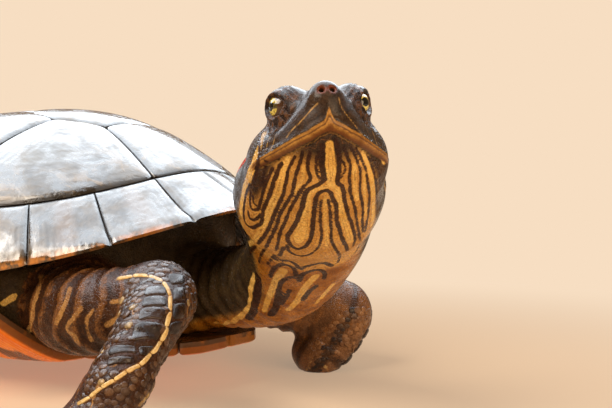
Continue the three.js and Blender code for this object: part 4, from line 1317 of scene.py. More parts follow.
# %% Pale stripes between them
PALE_STRIPES = lay_lines({
    "median": (2.6, 5.5, [(329, 132), (329.5, 145), (330, 158), (330.5, 170)]),
    "median_low": (5.5, 4.2, [(330.5, 170), (331, 181), (331, 185)]),
    "branch_left": (2.6, 2.2, [(330, 186), (322, 188), (314, 191), (308.5, 195.5)]),
    "drop": (2.2, 7, [(308.5, 195.5), (307.5, 206), (305.5, 217), (303, 227), (300.5, 236)]),
    "drop_end": (6.5, 3, [(300.5, 236), (298.5, 241.5)]),
    "branch_right": (2.8, 2.6, [(331, 186), (337, 189.5), (338.5, 197)]),
    "drop_right": (2.6, 4, [(338.5, 197), (341, 208), (344, 220), (348, 232), (351.5, 241)]),
    "inner": (1.6, 1.6, [(325, 197), (325, 212), (326, 228), (327, 246)]),
    "cheek_left": (4.0, 5.2, [(264.5, 133), (260, 145), (256, 155), (252, 167), (248.5, 178)]),
    "cheek_left_low": (5.0, 3.0, [(248.5, 178), (244, 188), (242, 200), (240.5, 214)]),
    "cheek_2": (3, 3.4, [(288, 158), (284.5, 167), (281.5, 180), (278, 192)]),
    "cheek_2_low": (3.4, 2.8, [(278, 192), (271, 206), (266, 219), (261, 230), (255, 239), (249, 244)]),
    "between": (1.8, 1.6, [(303.5, 166), (303, 178), (298.5, 186), (294, 194)]),
    "right_a": (2.4, 2, [(354, 165), (355, 178), (355.5, 190), (357.5, 200)]),
    "right_b": (1.6, 1.6, [(364, 172), (364.5, 186), (365.5, 200), (366, 214)]),
    "cheek_right": (2.4, 2.8, [(363, 153), (367, 162), (370, 172), (372.5, 184)]),
    "cheek_right_low": (2.8, 2.4, [(372.5, 184), (373.5, 198), (373.5, 212), (371.5, 226)]),
    "right_edge": (1.5, 1.5, [(379.5, 150), (383.5, 163), (385.5, 180)]),
    "neck_1": (3.4, 3.2, [(254.5, 275.5), (251.5, 284.5), (250, 293), (250.5, 302), (246.5, 311),
     (239, 318), (229, 322), (216.5, 323)]),
    "neck_2": (4.6, 2.8, [(284, 270), (277, 279), (272, 290), (268, 300), (264.5, 311)]),
    "neck_3": (4.2, 3.2, [(316, 276), (310, 282), (303.5, 290), (296.5, 302), (288, 310)]),
    "neck_4": (3.2, 3, [(333, 284.5), (325.5, 293), (316.5, 303)]),
})
print(len(PALE_STRIPES), "pale stripes between them")

# %% Thin lines of the face
FACE_LINES = lay_lines({
    "line_left": (0.7, 0.8, [(318, 103), (311, 110), (304, 118), (298, 124), (290, 132), (286, 138)]),
    "line_right": (0.7, 0.8, [(339, 98), (341, 106), (346, 114), (354, 124), (362, 134), (367, 144)]),
    "cheek_thin_1": (0.6, 0.7, [(276, 134), (273, 144), (269.5, 152)]),
    "cheek_thin_2": (0.6, 0.6, [(270, 136), (266.5, 147), (264, 158)]),
    "cheek_edge": (0.7, 0.7, [(371, 128), (374.5, 136), (378, 147)]),
})
print(len(FACE_LINES), "thin lines of the face")

# %% Pale stripes of the right foreleg
RIDGE_PICKS = {
    "ridge": [(117, 279), (135.5, 275.5), (151.5, 276.5), (161.5, 280.5), (167, 286.5), (170, 293.5),
     (170, 303.5), (169.5, 316.5), (168, 322), (165, 332), (161.5, 340.5), (154.5, 349.5), (147, 358),
     (140, 365)],
    "ridge_low": [(140, 365), (128.5, 370.5), (117, 378), (108.5, 383.5), (97, 390.5), (88.5, 398),
     (77, 404.5)],
}
LEG_STRIPES = lay_lines({
    "ridge": (1.9, 2.8, RIDGE_PICKS["ridge"]),
    "ridge_low": (2.8, 1.7, RIDGE_PICKS["ridge_low"]),
    "outer": (1.6, 2.0, [(190, 290), (189, 302), (187, 315), (182, 332), (175, 349), (168.5, 365),
     (160.5, 380.5), (149.5, 393.5), (139.5, 405)]),
    "arm_1": (3, 3.4, [(40.5, 276.5), (38.5, 288), (35, 302), (32, 316.5), (28.5, 332)]),
    "arm_2": (2.6, 2.6, [(70, 288), (67, 299.5), (61.5, 312), (55.5, 323.5)]),
    "arm_3": (2.4, 3.2, [(81.5, 308), (73, 318), (67, 329), (74.5, 336.5), (78, 345)]),
    "arm_4": (3.4, 3, [(121.5, 313.5), (114.5, 320.5), (107, 325)]),
    "arm_5": (1.6, 1.6, [(134.5, 305), (131.5, 319), (127, 330.5)]),
    "arm_6": (2.6, 2.4, [(123, 299.5), (111.5, 302)]),
    "arm_8": (3.4, 3, [(14.5, 296.5), (3, 303.5)]),
    "arm_9": (2, 2.4, [(93, 310.5), (87, 319), (91.5, 340.5)]),
})
print(len(LEG_STRIPES), "pale stripes of the right foreleg")

# %% Distance to drawn lines
def line_distance(points, lines, reach=4.0):
    """Distance in mm from each point to the nearest line, less than 0 inside the line's half-width."""
    best = np.full(len(points), reach)
    for half_start, half_end, stops in lines:
        stops = np.array(stops, float)
        two_ends = np.linspace(stops[0], stops[-1], 8)
        curve = curve_through(stops, 6 * len(stops)) if len(stops) > 2 else two_ends
        near = ((points > curve.min(0) - reach) & (points < curve.max(0) + reach)).all(1)
        index = np.flatnonzero(near)
        if len(index) == 0:
            continue
        q = points[index]
        found = np.full(len(q), reach)
        half = np.linspace(half_start, half_end, len(curve))
        for a, b, width in zip(curve[:-1], curve[1:], half):
            step = b - a
            t = np.clip((q - a) @ step / max(step @ step, 1e-9), 0, 1)
            found = np.minimum(found, np.linalg.norm(q - a - t[:, None] * step, axis=1) - width)
        best[index] = np.minimum(best[index], found)
    return best


def beside(tube, points, reach):
    """Which points lie near a tube's surface, with their distance along it, place across it and sizes."""
    near = np.flatnonzero(((points > tube.low) & (points < tube.high)).all(1))
    near = near[np.abs(tube.distance(points[near])) < reach]
    return near, *tube.locate(points[near])[:4]


def turn_lines(turn, radius, angles, half):
    """Distance to lines that run along a tube at fixed angles, in degrees, round it."""
    angles = np.radians(np.asarray(angles, float))
    gap = np.abs((turn[:, None] - angles[None] + np.pi) % (2 * np.pi) - np.pi).min(1)
    return gap * radius - half


# %% Markings for every point of the skin
MASKS = ("throat", "low", "limb", "tan", "snout", "jaw", "lid", "deep", "chin", "cheek", "nostril", "fold")
FAR_LINE = 4.0  # where no line is near, in mm
FACE_REACH = 34.0  # marks of the head are drawn this near to its middle, in mm
DARK_SPREAD = 0.06  # pigment that bleeds past each dark line, in mm
BACK_LINES = [12, -8, -27, -44, -62, -78, -94, -112, -130, -148, -166]  # degrees round the neck
LEG_LINES = {"upper": [40, 130, 215, 300], "lower": [35, 100, 165, 230, 300], "foot": [60, 120]}
TAIL_LINES = [25, 90, 155, 215, 325]
LEFT_BANDS = [92, 152, 212]  # bands of painted shade along the left foreleg, in degrees round it
RED_PATCH = [(15, 9.6, 8.4), (19, 11.0, 8.4), (24, 12.2, 8.0), (30, 13.6, 6.8), (38, 14.4, 4.6)]  # s, l, u
CROWN_LINE = [(3.0, 1.4, 9.4), (9, 2.2, 11.2), (17, 4.4, 12.0)]


def markings(points):
    """Masks from 0 to 1, and distances in mm to each kind of line, for points of the skin."""
    out = {key: np.zeros(len(points)) for key in MASKS}
    out.update({key: np.full(len(points), FAR_LINE) for key in ("dark", "pale", "gold", "red", "band")})

    def most(key, index, values):
        out[key][index] = np.maximum(out[key][index], values)

    def least(key, index, values):
        out[key][index] = np.minimum(out[key][index], values)

    h = to_head(points)
    s, l, u = h.T
    near_head = np.linalg.norm(points - HEAD_MIDDLE, axis=1) < FACE_REACH
    neck_along, across, down, half, _ = neck_tube.locate(points)
    on_neck = (np.abs(neck_tube.distance(points)) < 4.5) & (points[:, 1] < -52) | near_head
    turn = np.arctan2(down * half[:, 1], across * half[:, 0])
    degrees = np.degrees(turn) % 360
    share = neck_along / neck_tube.length[-1]
    # the golden throat lies between two angles round the neck, and ends at the mouth's line
    throat_end = 126 + 24 * smoothstep(0.55, 0.78, share)
    throat = smoothstep(26, 44, degrees) * (1 - smoothstep(throat_end, throat_end + 14, degrees))
    level = u - mouth_level(s, l)
    spike = 2.2 * np.exp(-((l / 0.55) ** 2) - (np.maximum(s, 0) / 3.0) ** 2)
    band_top = 1.45 - 0.4 * smoothstep(3.0, 16.0, s) + spike
    above_mouth = (s < JAW_CORNER_S) & near_head & (level > -0.1)
    out["throat"] = np.where(on_neck, throat * ~above_mouth, 0)
    out["low"] = np.where(near_head, 0, 1 - smoothstep(0.80, 0.93, share)) * out["throat"]
    on_face = (s < 11) & near_head & (level > -0.05)
    drawn = on_neck & ~on_face & (points[:, 0] <= 8)
    out["dark"][drawn] = line_distance(points[drawn], DARK_LINES.values()) - DARK_SPREAD
    out["pale"][drawn] = line_distance(points[drawn], PALE_STRIPES.values())
    # thin yellow lines along the back and sides of neck and head
    wave = turn + 0.05 * np.sin(neck_along * 0.35) + 0.04 * np.sin(s * 0.4)
    fade = FAR_LINE * (1 - smoothstep(18, 26, s)) + FAR_LINE * smoothstep(0.05, 0.45, throat)
    fade += 1.5 * (1 - smoothstep(0.3, 0.6, share))
    back = turn_lines(wave, half.mean(1), BACK_LINES, 0.45) + fade
    out["gold"] = np.where(on_neck & ~above_mouth, back, FAR_LINE)
    face_side = near_head & (points[:, 0] < 8)
    least("gold", face_side, line_distance(points[face_side], FACE_LINES.values()))
    # the chin under the jaw is dark slate, partly its own horn and partly painted shade under the upper jaw,
    # and the cheek between jaw and throat is brown
    outward = np.abs(l) / np.maximum(head_profile(s)[0], 1)
    under_jaw = near_head & ~above_mouth
    out["chin"] = under_jaw * (1 - smoothstep(4.5, 9.5, s)) * (1 - smoothstep(0.9, 1.1, outward))
    side_of_jaw = under_jaw * smoothstep(0.80, 0.90, outward)
    out["cheek"] = side_of_jaw * smoothstep(4, 8, s) * (1 - smoothstep(20, 26, s))
    # the face: horn of the snout, the ochre band over the cutting edge, the lids
    face = near_head & (s < 21)
    out["band"] = np.where(face, np.clip(level / band_top, -2, 3), 3.0)
    out["jaw"] = face * (1 - smoothstep(14.5, 17.5, s))
    out["snout"] = face * smoothstep(band_top - 0.2, band_top + 0.4, level) * (1 - smoothstep(9, 15, s))
    head_points = points[near_head]
    for side in (1, -1):
        mirror = np.array([1, side, 1])
        opening, away = eye_opening(h, side)
        near_eye = near_head & (away < EYE_RADIUS + 3.0)
        most("lid", slice(None), near_eye * (1 - smoothstep(0.9, 1.7, opening)))
        patch = from_head(*(RED_PATCH * mirror).T)
        least("red", near_head, line_distance(head_points, [(0.9, 2.1, patch[:3]), (2.1, 0.7, patch[2:])]))
        crown = from_head(*(CROWN_LINE * mirror).T)
        least("gold", near_head, line_distance(head_points, [(0.25, 0.25, crown)]))
        rim = np.linalg.norm(h - NOSTRIL["centre"] * mirror, axis=1)
        most("nostril", slice(None), near_head * (1 - smoothstep(0.75, 1.05, rim)))
    # limbs and tail
    for name, tubes in limb_tubes.items():
        for part, tube in zip(("upper", "lower", "foot"), tubes):
            close, along, a, b, size = beside(tube, points, 2.5)
            out["limb"][close] = 1
            around = np.arctan2(b * size[:, 1], a * size[:, 0]) + 0.12 * np.sin(along * 0.3)
            if part == "upper":
                fade = smoothstep(0.1, 0.3, along / tube.length[-1])
                wave = fold_wave(along, np.arctan2(b, a), FOLDS["upper"][1])
                most("fold", close, 0.5 - 0.5 * wave * fade)
            if name.startswith("hind") or part == "foot":
                half_line = 0.3 if part == "foot" else 0.45
                least("pale", close, turn_lines(around, size.mean(1), LEG_LINES[part], half_line))
            # the left foreleg is painted a lighter brown, as if in warm light, with bands of painted shade
            # along it
            if name == "fore_left":
                out["tan"][close] = 1
                bands = turn_lines(around, size.mean(1), LEFT_BANDS, 1.1)
                most("deep", close, 0.7 * (1 - smoothstep(-0.4, 0.9, bands)))
    out["limb"] *= ~on_neck
    drawn = (points[:, 0] < -12) & (points[:, 1] > -105) & (points[:, 1] < -25) & ~on_neck
    least("pale", drawn, line_distance(points[drawn], LEG_STRIPES.values()))
    close, along, a, b, size = beside(tail_tube, points, 2.0)
    round_tail = np.arctan2(b * size[:, 1], a * size[:, 0])
    least("pale", close, turn_lines(round_tail, size.mean(1), TAIL_LINES, 0.4))
    out["limb"][close] = 1
    # painted shade: the skin darkens the deeper it lies inside the openings of the shell
    inside = unstand(points)
    depth = (seam_share(inside[:, 0], inside[:, 1]) - rim_share(inside[:, 0], inside[:, 1])) * HALF_WIDTH
    most("deep", slice(None), smoothstep(2, 22, depth) * (inside[:, 2] > 0))
    return out


skin_normals = unit(slope(flesh, skin_points))
skin_tags = markings(skin_points)
print("points on a line:", {key: int((skin_tags[key] < 0).sum()) for key in ("dark", "pale", "gold", "red")})

# %% [markdown]
# ### The skin's finish
# A wet skin of fine grains. The ground is golden on the throat, nearly black on the back of the neck and
# dark brown on the limbs. The horn of the snout is smoother. Colours change a little from place to place,
# and the creases between grains are darker. Shade is painted deep in the shell's openings, under the upper
# jaw and in bands on the left foreleg, and light onto the left foreleg.

# %% Skin material
skin_finish, tree, shader, where = new_material(
    "wet_skin", Coat_Roughness=0.12, Coat_IOR=1.34, Specular_IOR_Level=0.12, Subsurface_Weight=0.06,
    Subsurface_Scale=0.002, Subsurface_Radius=(1.0, 0.45, 0.2))
in_masks = [tag(tree, name) for name in MASKS]
throat, low, limb, tan, snout, jaw, lid, deep, chin, cheek, nostril, fold = in_masks
band = tag(tree, "band")
cloud = cloudy(where, 5.0)
fine_cloud = cloudy(where, 1.6)
grain = use(granules, Vector=where, Size=0.75)
colour = blend(cloud, (0.022, 0.013, 0.006), (0.052, 0.032, 0.013))
gold = blend(cloud, (0.42, 0.195, 0.036), (0.60, 0.315, 0.068))
gold = blend(low, gold, blend(cloud, (0.195, 0.062, 0.004), (0.420, 0.160, 0.014)))
colour = blend(throat, colour, gold)
limb_brown = blend(cloud, (0.020, 0.007, 0.003), (0.060, 0.020, 0.006))
# painted light: the left foreleg's skin is a lighter brown, as if in warm light
limb_brown = blend(tan, limb_brown, blend(cloud, (0.10, 0.045, 0.018), (0.20, 0.092, 0.038)))
colour = paint(colour, limb, 0.95, limb_brown)
ridge = plus(fold, times(minus(fine_cloud, 0.5), 0.5))
ridge = times(ramp(ridge, 0.62, 1.0), 0.62)
colour = blend(ridge, colour, blend(cloud, (0.14, 0.050, 0.012), (0.25, 0.105, 0.028)))
colour = blend(cheek, colour, blend(cloud, (0.022, 0.010, 0.004), (0.070, 0.032, 0.012)))
# the chin's dark slate is partly the lower jaw's own horn, partly painted shade under the upper jaw
colour = blend(chin, colour, blend(fine_cloud, (0.016, 0.009, 0.006), (0.050, 0.026, 0.013)))
pale_line = stripe(where, "pale", 0.18, 0.25)
limb_pale = blend(cloud, (0.20, 0.088, 0.024), (0.40, 0.21, 0.064))
pale_colour = blend(limb, blend(cloud, (0.62, 0.34, 0.070), (0.76, 0.48, 0.13)), limb_pale)
colour = paint(colour, pale_line, 0.95, pale_colour)
gold_line = stripe(where, "gold", 0.14, 0.2)
colour = paint(colour, gold_line, 0.85, (0.50, 0.29, 0.07))
slate = blend(fine_cloud, (0.014, 0.008, 0.005), (0.048, 0.026, 0.014))
slate = paint(slate, gold_line, 0.8, (0.45, 0.25, 0.07))
colour = blend(snout, colour, slate)

# the pale band over the cutting edge, with a dark edge below and a brown line along its middle
in_band = times(ramp(band, -0.06, 0.06), ramp(band, 0.88, 1.06, 1.0, 0.0))
ochre = blend(fine_cloud, (0.20, 0.085, 0.015), (0.38, 0.185, 0.038))
ochre = blend(ramp(band, 0.05, 0.34, 0.9, 0.0), ochre, (0.105, 0.030, 0.006))
middle = calc("ABSOLUTE", minus(band, plus(0.50, times(fine_cloud, 0.1))))
ochre = blend(ramp(middle, 0.03, 0.15, 0.8, 0.0), ochre, (0.070, 0.024, 0.007))
colour = blend(times(jaw, in_band), colour, ochre)
mottle = ramp(noise(where, 1.1, 4.0, 0.65), 0.42, 0.60)
colour = blend(lid, colour, blend(mottle, (0.012, 0.005, 0.003), (0.085, 0.036, 0.014)))
colour = blend(nostril, colour, (0.120, 0.028, 0.010))
red_patch = stripe(where, "red", 0.2, 0.7)
red = blend(cloud, (0.42, 0.012, 0.004), (0.62, 0.030, 0.006))
colour = paint(colour, red_patch, 0.92, red)
dark_line = stripe(where, "dark", 0.12, 0.55)
echo = calc("ABSOLUTE", minus(tag(tree, "dark"), 0.62))  # a faint line beside each dark one
echo = times(ramp(echo, 0.02, 0.14, 0.7, 0.0), times(throat, fine_cloud))
colour = blend(echo, colour, (0.15, 0.055, 0.014))
colour = paint(colour, dark_line, 0.97, blend(fine_cloud, (0.014, 0.004, 0.002), (0.040, 0.012, 0.005)))
crease = times(grain["Groove"], minus(0.30, times(jaw, 0.2)))
colour = blend(crease, colour, (0.022, 0.010, 0.005))
# painted shade, deep in the shell's openings and in the bands along the left foreleg
colour = blend(deep, colour, (0.012, 0.004, 0.002))
water = use(film, Vector=where, Size=5.0, Wet=0.22, Dry=0.48)
smooth_horn = calc("MAXIMUM", snout, times(jaw, in_band))
calm = minus(1.0, times(smooth_horn, 0.85))
height = times(grain["Height"], calm)
height = plus(height, times(noise(where, 2.2, 4.0), times(calm, 1.2)))
height = plus(height, times(mottle, times(lid, 1.2)))
coat = plus(ramp(water["Film"], 0.0, 1.0, 0.0, 0.13), times(smooth_horn, 0.08))
finish_material(shader, colour, water["Roughness"], coat, height, 0.12, 0.8)
print("skin finish uses", len(tree.nodes), "nodes")

# %% Put the skin on
skin = make_piece("skin", skin_points, skin_faces.tolist(), skin_finish, skin_tags)
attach(skin, "root")
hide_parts("head", "neck", "trunk", "tail",
            "leg_front_right", "leg_front_left", "leg_hind_right", "leg_hind_left")
print("skin has", len(skin.data.polygons), "faces")

# %% [markdown]
# ## Eyes
# The eye is a wet ball behind two lids. Its iris is yellow-green with a dark bar through it, fore and
# aft of the round pupil, which hides the pupil in weeds. The ball's rings are laid round its line of
# sight, so the iris can be drawn from the angle to that line.

# %% Eye finish
eye_finish, tree, shader, where = new_material(
    "wet_eye", Roughness=0.10, Coat_Weight=0.8, Coat_Roughness=0.03, Coat_IOR=1.34, Specular_IOR_Level=0.3)
gaze, bar = tag(tree, "gaze"), tag(tree, "bar")
fleck = noise(where, 0.35, 3.0, 0.6)
iris = blend(ramp(fleck, 0.35, 0.65), (0.26, 0.19, 0.022), (0.70, 0.56, 0.11))
iris = blend(ramp(gaze, 19.0, 22.0, 0.75, 0.0), iris, (0.78, 0.66, 0.18))
iris = blend(ramp(bar, 0.40, 0.75, 0.92, 0.0), iris, (0.018, 0.010, 0.005))
iris = blend(ramp(gaze, 16.5, 18.5, 1.0, 0.0), iris, (0.002, 0.002, 0.002))
iris = blend(ramp(gaze, 31.0, 35.0), iris, (0.060, 0.026, 0.011))
finish_material(shader, iris, None, None, fleck, 0.03, 0.3)


EYE_TURN = {1: 0.30, -1: 0.17}  # how far each ball is turned along its slit, in radians


def eye_grid(side, rings=26, around=40):
    centre, look, long_axis, high = eye_frame(side)
    aim = unit(look + EYE_TURN[side] * long_axis)
    bend = np.linspace(0, np.pi, rings + 2)[1:-1]
    turn = np.arange(around) * 2 * np.pi / around
    points, gaze_tag, bar_tag = [], [], []
    for angle in np.concatenate([[0], bend, [np.pi]]):
        turns = turn if 0 < angle < np.pi else turn[:1]
        way = (np.cos(angle) * look[None] + np.sin(angle) * (np.cos(turns)[:, None] * long_axis
                                                              + np.sin(turns)[:, None] * high))
        cornea = EYE_RADIUS * (1 + 0.05 * np.exp(-((angle / 0.45) ** 2)))
        points.append(centre + way * cornea)
        gaze_tag.append(np.degrees(np.arccos(np.clip(way @ aim, -1, 1))))
        bar_tag.append(np.abs(way @ high) * EYE_RADIUS)
    points = np.vstack(points)
    faces = closed_rings(rings, around)
    if np.linalg.det([look, long_axis, high]) < 0:
        faces = [face[::-1] for face in faces]
    return from_head(*points.T), faces, {"gaze": np.concatenate(gaze_tag), "bar": np.concatenate(bar_tag)}


for word, side in (("left", 1), ("right", -1)):
    points, faces, tags = eye_grid(side)
    eye = make_piece(f"eyeball_{word}", points, faces, eye_finish, tags)
    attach(eye, "root")
    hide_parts(f"eye_{word}")
    print("eye", word, len(faces), "faces")

# %% [markdown]
# ## Scales of the legs
# A slider's forearm carries a row of wide glossy plates beside the pale ridge, and rounded pebbly
# scales everywhere below the elbow and the knee. The wide plates are few and each fits its place, so
# they are laid on the skin one by one. The pebbles are hundreds of one shape, so Geometry Nodes put a
# small dome on points that are spread evenly over the skin.

# %% Finish of the scales
scale_finish, tree, shader, where = new_material(
    "scale_horn", Coat_Weight=1.0, Coat_Roughness=0.1, Coat_IOR=1.4, Specular_IOR_Level=0.2)
cloud = cloudy(where, 3.0)
shade = tag(tree, "shade")
black = blend(cloud, (0.009, 0.005, 0.004), (0.034, 0.018, 0.012))
# the stored shade runs from black horn to brown; on the left foreleg its high values are painted light and
# its dips are bands of painted shade
base = blend(shade, black, blend(cloud, (0.190, 0.078, 0.028), (0.400, 0.200, 0.080)))
pale_line = stripe(where, "pale", 0.14, 0.3)
pale = blend(cloud, (0.52, 0.33, 0.11), (0.76, 0.58, 0.27))
base = paint(base, pale_line, 0.92, pale)
water = use(film, Vector=where, Size=4.0, Wet=0.16, Dry=0.48)
grain = use(granules, Vector=where, Size=0.45)
height = plus(times(grain["Height"], 0.35), noise(where, 0.9, 4.0, 0.6))
coat = times(ramp(water["Film"], 0.0, 1.0, 0.04, 0.36), minus(1.0, times(shade, 0.75)))
finish_material(shader, base, water["Roughness"], coat, height, 0.10, 0.9)


# %% Where scales can be, and their place on a flat unwrap of the limbs
LIMB_NAMES = list(LIMBS)


def limb_uv(name, points):
    """A tile for each limb; along the limb to the right, round it upwards."""
    tubes = limb_tubes[name]
    gaps = np.stack([tube.distance(points) for tube in tubes])
    nearest = gaps.argmin(0)
    uv, start, total = np.zeros((len(points), 2)), 0.0, sum(tube.length[-1] for tube in tubes)
    for i, tube in enumerate(tubes):
        along, a, b, _, _ = tube.locate(points)
        chosen = nearest == i
        uv[chosen, 0] = (start + along[chosen]) / total
        uv[chosen, 1] = np.arctan2(b[chosen], a[chosen]) / (2 * np.pi) + 0.5
        start += tube.length[-1]
    tile = LIMB_NAMES.index(name)
    return (np.array([tile % 2, tile // 2]) + 0.04 + uv * 0.92) / 2


# %% Where the wide plates of the right forearm lie
# Each plate by its four corners in pixels of the view: first those on the near side of the ridge.
FOREARM_CORNERS = [
    [(145, 288), (166, 287), (167, 296), (144, 297)],
    [(143, 298), (167, 297.5), (167, 307), (141, 308)],
    [(140, 309.5), (166, 308.5), (165, 321.5), (137, 321)],
    [(134, 324), (163, 324), (158, 341), (130, 342)],
    [(110, 347), (136, 345), (138, 354), (108, 357)],
    [(138, 346), (155, 346), (147, 356), (140, 355)],
    [(107, 359), (134, 357), (131, 364), (106, 366)],
    [(167, 274), (184, 275), (185, 284), (171, 285)],
    [(173, 288), (184, 286), (186, 300), (173, 302)],
    [(173, 304), (185, 302.5), (184, 318), (172, 320)],
    [(171, 322), (183, 320.5), (178, 334), (168, 334)],
]
RIDGE_SCALE = 16.0  # length of one pale ridge scale, in pixels


def ridge_corners(picks, half_start, half_end):
    """Corners of long narrow scales that follow one another along a line of the view."""
    line_points = curve_through(np.column_stack([picks, np.zeros(len(picks))]), 200)[:, :2]
    along = np.concatenate([[0], np.cumsum(np.linalg.norm(np.diff(line_points, axis=0), axis=1))])
    stops = np.linspace(0, along[-1], round(along[-1] / RIDGE_SCALE) + 1)
    at = lambda d: np.array([np.interp(d, along, line_points[:, 0]), np.interp(d, along, line_points[:, 1])])
    quads = []
    for a, b in zip(stops[:-1] + 0.2, stops[1:] - 0.2):
        forward = unit(at(b) - at(a))
        half = np.interp((a + b) / 2, [0, along[-1]], [half_start, half_end])
        half = half * np.array([-forward[1], forward[0]])
        quads.append([at(a) - half, at(a) + half, at(b) + half, at(b) - half])
    return quads


PATCH_SHARES = [0.0, 0.55, 1.0, 1.0, 0.93, 0.78, 0.5, 0.0]  # out under the skin, then back over the top
PATCH_AROUND = 28
UV_SPREAD = 0.0015  # how much of the unwrap one scale takes up
ON_RIDGE = -1.0  # a distance to the pale line that is well inside it


def quad_patch(corners):
    """Rings of a rounded patch between four corners."""
    turn = np.arange(PATCH_AROUND) * 2 * np.pi / PATCH_AROUND
    bulge = lambda c: np.sign(c) * np.abs(c) ** (2 / 4.5)
    edge = np.stack([bulge(np.cos(turn)), bulge(np.sin(turn))], 1)
    plan = np.vstack([(edge if share > 0 else edge[:1]) * share for share in PATCH_SHARES])
    a, b = ((plan + 1) / 2).T[:, :, None]
    p, q, r, t = np.array(corners, float)
    return (p * (1 - a) + q * a) * (1 - b) + (t * (1 - a) + r * a) * b


def lay_plates(name, quads, thick, shade, pale):
    """Domed plates that lie on the skin between given corners, each a closed shell."""
    share = np.concatenate([np.full(PATCH_AROUND if s > 0 else 1, s) for s in PATCH_SHARES])
    on_top = np.arange(len(share)) > 2 * PATCH_AROUND
    feet = onto_surface(flesh, np.vstack([quad_patch(q) for q in quads]), 5)
    normals = unit(slope(flesh, feet, 0.5))
    grids = []
    for foot, normal in zip(np.split(feet, len(quads)), np.split(normals, len(quads))):
        lift = np.where(on_top, thick * (1 - 0.6 * share**4) - 0.2 * (share >= 1), -0.6)
        points = foot + normal * lift[:, None]
        first, second = points[-1 - PATCH_AROUND] - points[-1], points[-1 - PATCH_AROUND + 7] - points[-1]
        faces = closed_rings(len(PATCH_SHARES) - 2, PATCH_AROUND)
        if np.cross(first, second) @ normal[-1] < 0:
            faces = [face[::-1] for face in faces]
        middle_uv = np.repeat(limb_uv(name, foot[-1:]), len(points), 0)
        turn = np.arange(len(points)) * 2 * np.pi / PATCH_AROUND
        patch_uv = middle_uv + UV_SPREAD * share[:, None] * np.stack([np.cos(turn), np.sin(turn)], 1)
        tags = {"shade": np.full(len(points), shade), "pale": np.full(len(points), pale)}
        grids.append((points, faces, {**tags, "u": patch_uv[:, 0], "v": patch_uv[:, 1]}))
    return grids


def tube_quads(tube, along, turns):
    """Corners of patches on a tube: shares of its length, and angles round it in degrees."""
    quads = []
    for a0, a1 in zip(along[:-1], along[1:]):
        for t0, t1 in zip(turns[:-1], turns[1:]):
            gap_a, gap_t = 0.06 * (a1 - a0), 0.05 * (t1 - t0)
            near, far, low, high = a0 + gap_a, a1 - gap_a, t0 + gap_t, t1 - gap_t
            corners = []
            for a, t in ((near, low), (near, high), (far, high), (far, low)):
                i = a * (len(tube.centre) - 1)
                at = lambda rows: rows[int(i)] * (1 - i % 1) + rows[min(int(i) + 1, len(rows) - 1)] * (i % 1)
                (wide, tall), (_, across, up), turn = at(tube.half), at(tube.axes), math.radians(t)
                corners.append(at(tube.centre) + across * wide * math.cos(turn) + up * tall * math.sin(turn))
            quads.append(corners)
    return quads


# %% Lay the wide plates
in_view = cast([corner for quad in FOREARM_CORNERS for corner in quad]).reshape(-1, 4, 3)
ridge_quads = [quad for key, widths in (("ridge", (1.4, 2.4)), ("ridge_low", (2.4, 1.6)))
               for quad in ridge_corners(RIDGE_PICKS[key], *widths)]
ridge_quads = [cast(quad) for quad in ridge_quads]
wide_plates = {"fore_right": list(in_view),
               "fore_left": tube_quads(limb_tubes["fore_left"][1], [0.05, 0.3, 0.55, 0.8], [200, 250, 300]),
               "hind_right": tube_quads(limb_tubes["hind_right"][1], [0.2, 0.5, 0.8], [20, 60, 100]),
               "hind_left": tube_quads(limb_tubes["hind_left"][1], [0.2, 0.5, 0.8], [80, 120, 160])}
for name, quads in wide_plates.items():
    grids = lay_plates(name, quads, thick=0.42, shade=0.0, pale=FAR_LINE)
    if name == "fore_right":
        whole = [quad for quad in ridge_quads if not np.isnan(quad).any()]
        grids += lay_plates(name, whole, thick=0.32, shade=0.0, pale=ON_RIDGE)
    points, faces, tags = join_grids(grids)
    uv = np.column_stack([tags.pop("u"), tags.pop("v")])
    piece = make_piece(f"wide_scales_{name}", points, faces, scale_finish, tags, uv=uv)
    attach(piece, "root")
    print(name, len(grids), "wide scales")
plate_centres = np.array([np.mean(quad, 0) for quads in wide_plates.values() for quad in quads])

# %% [markdown]
# ### Pebbles and claws with Geometry Nodes
# Both are one shape repeated: a dome on each point, or a curved cone at each toe. The points carry
# what differs, that is the way out of the skin, the lie, the size and the place on the unwrap.

# %% Points for the pebbles
def scatter(points, radii, seed):
    """Indices of points no closer than their own radius to any chosen before."""
    order = np.random.default_rng(seed).permutation(len(points))
    chosen = np.zeros(0, int)
    for i in order:
        if len(chosen) == 0 or ((points[chosen] - points[i]) ** 2).sum(1).min() > radii[i] ** 2:
            chosen = np.append(chosen, i)
    return chosen


PEBBLE_HEIGHTS, PEBBLE_GAPS = [2, 8, 20, 34], [0.95, 1.15, 1.55, 1.75]  # pebbles grow up the limb, in mm


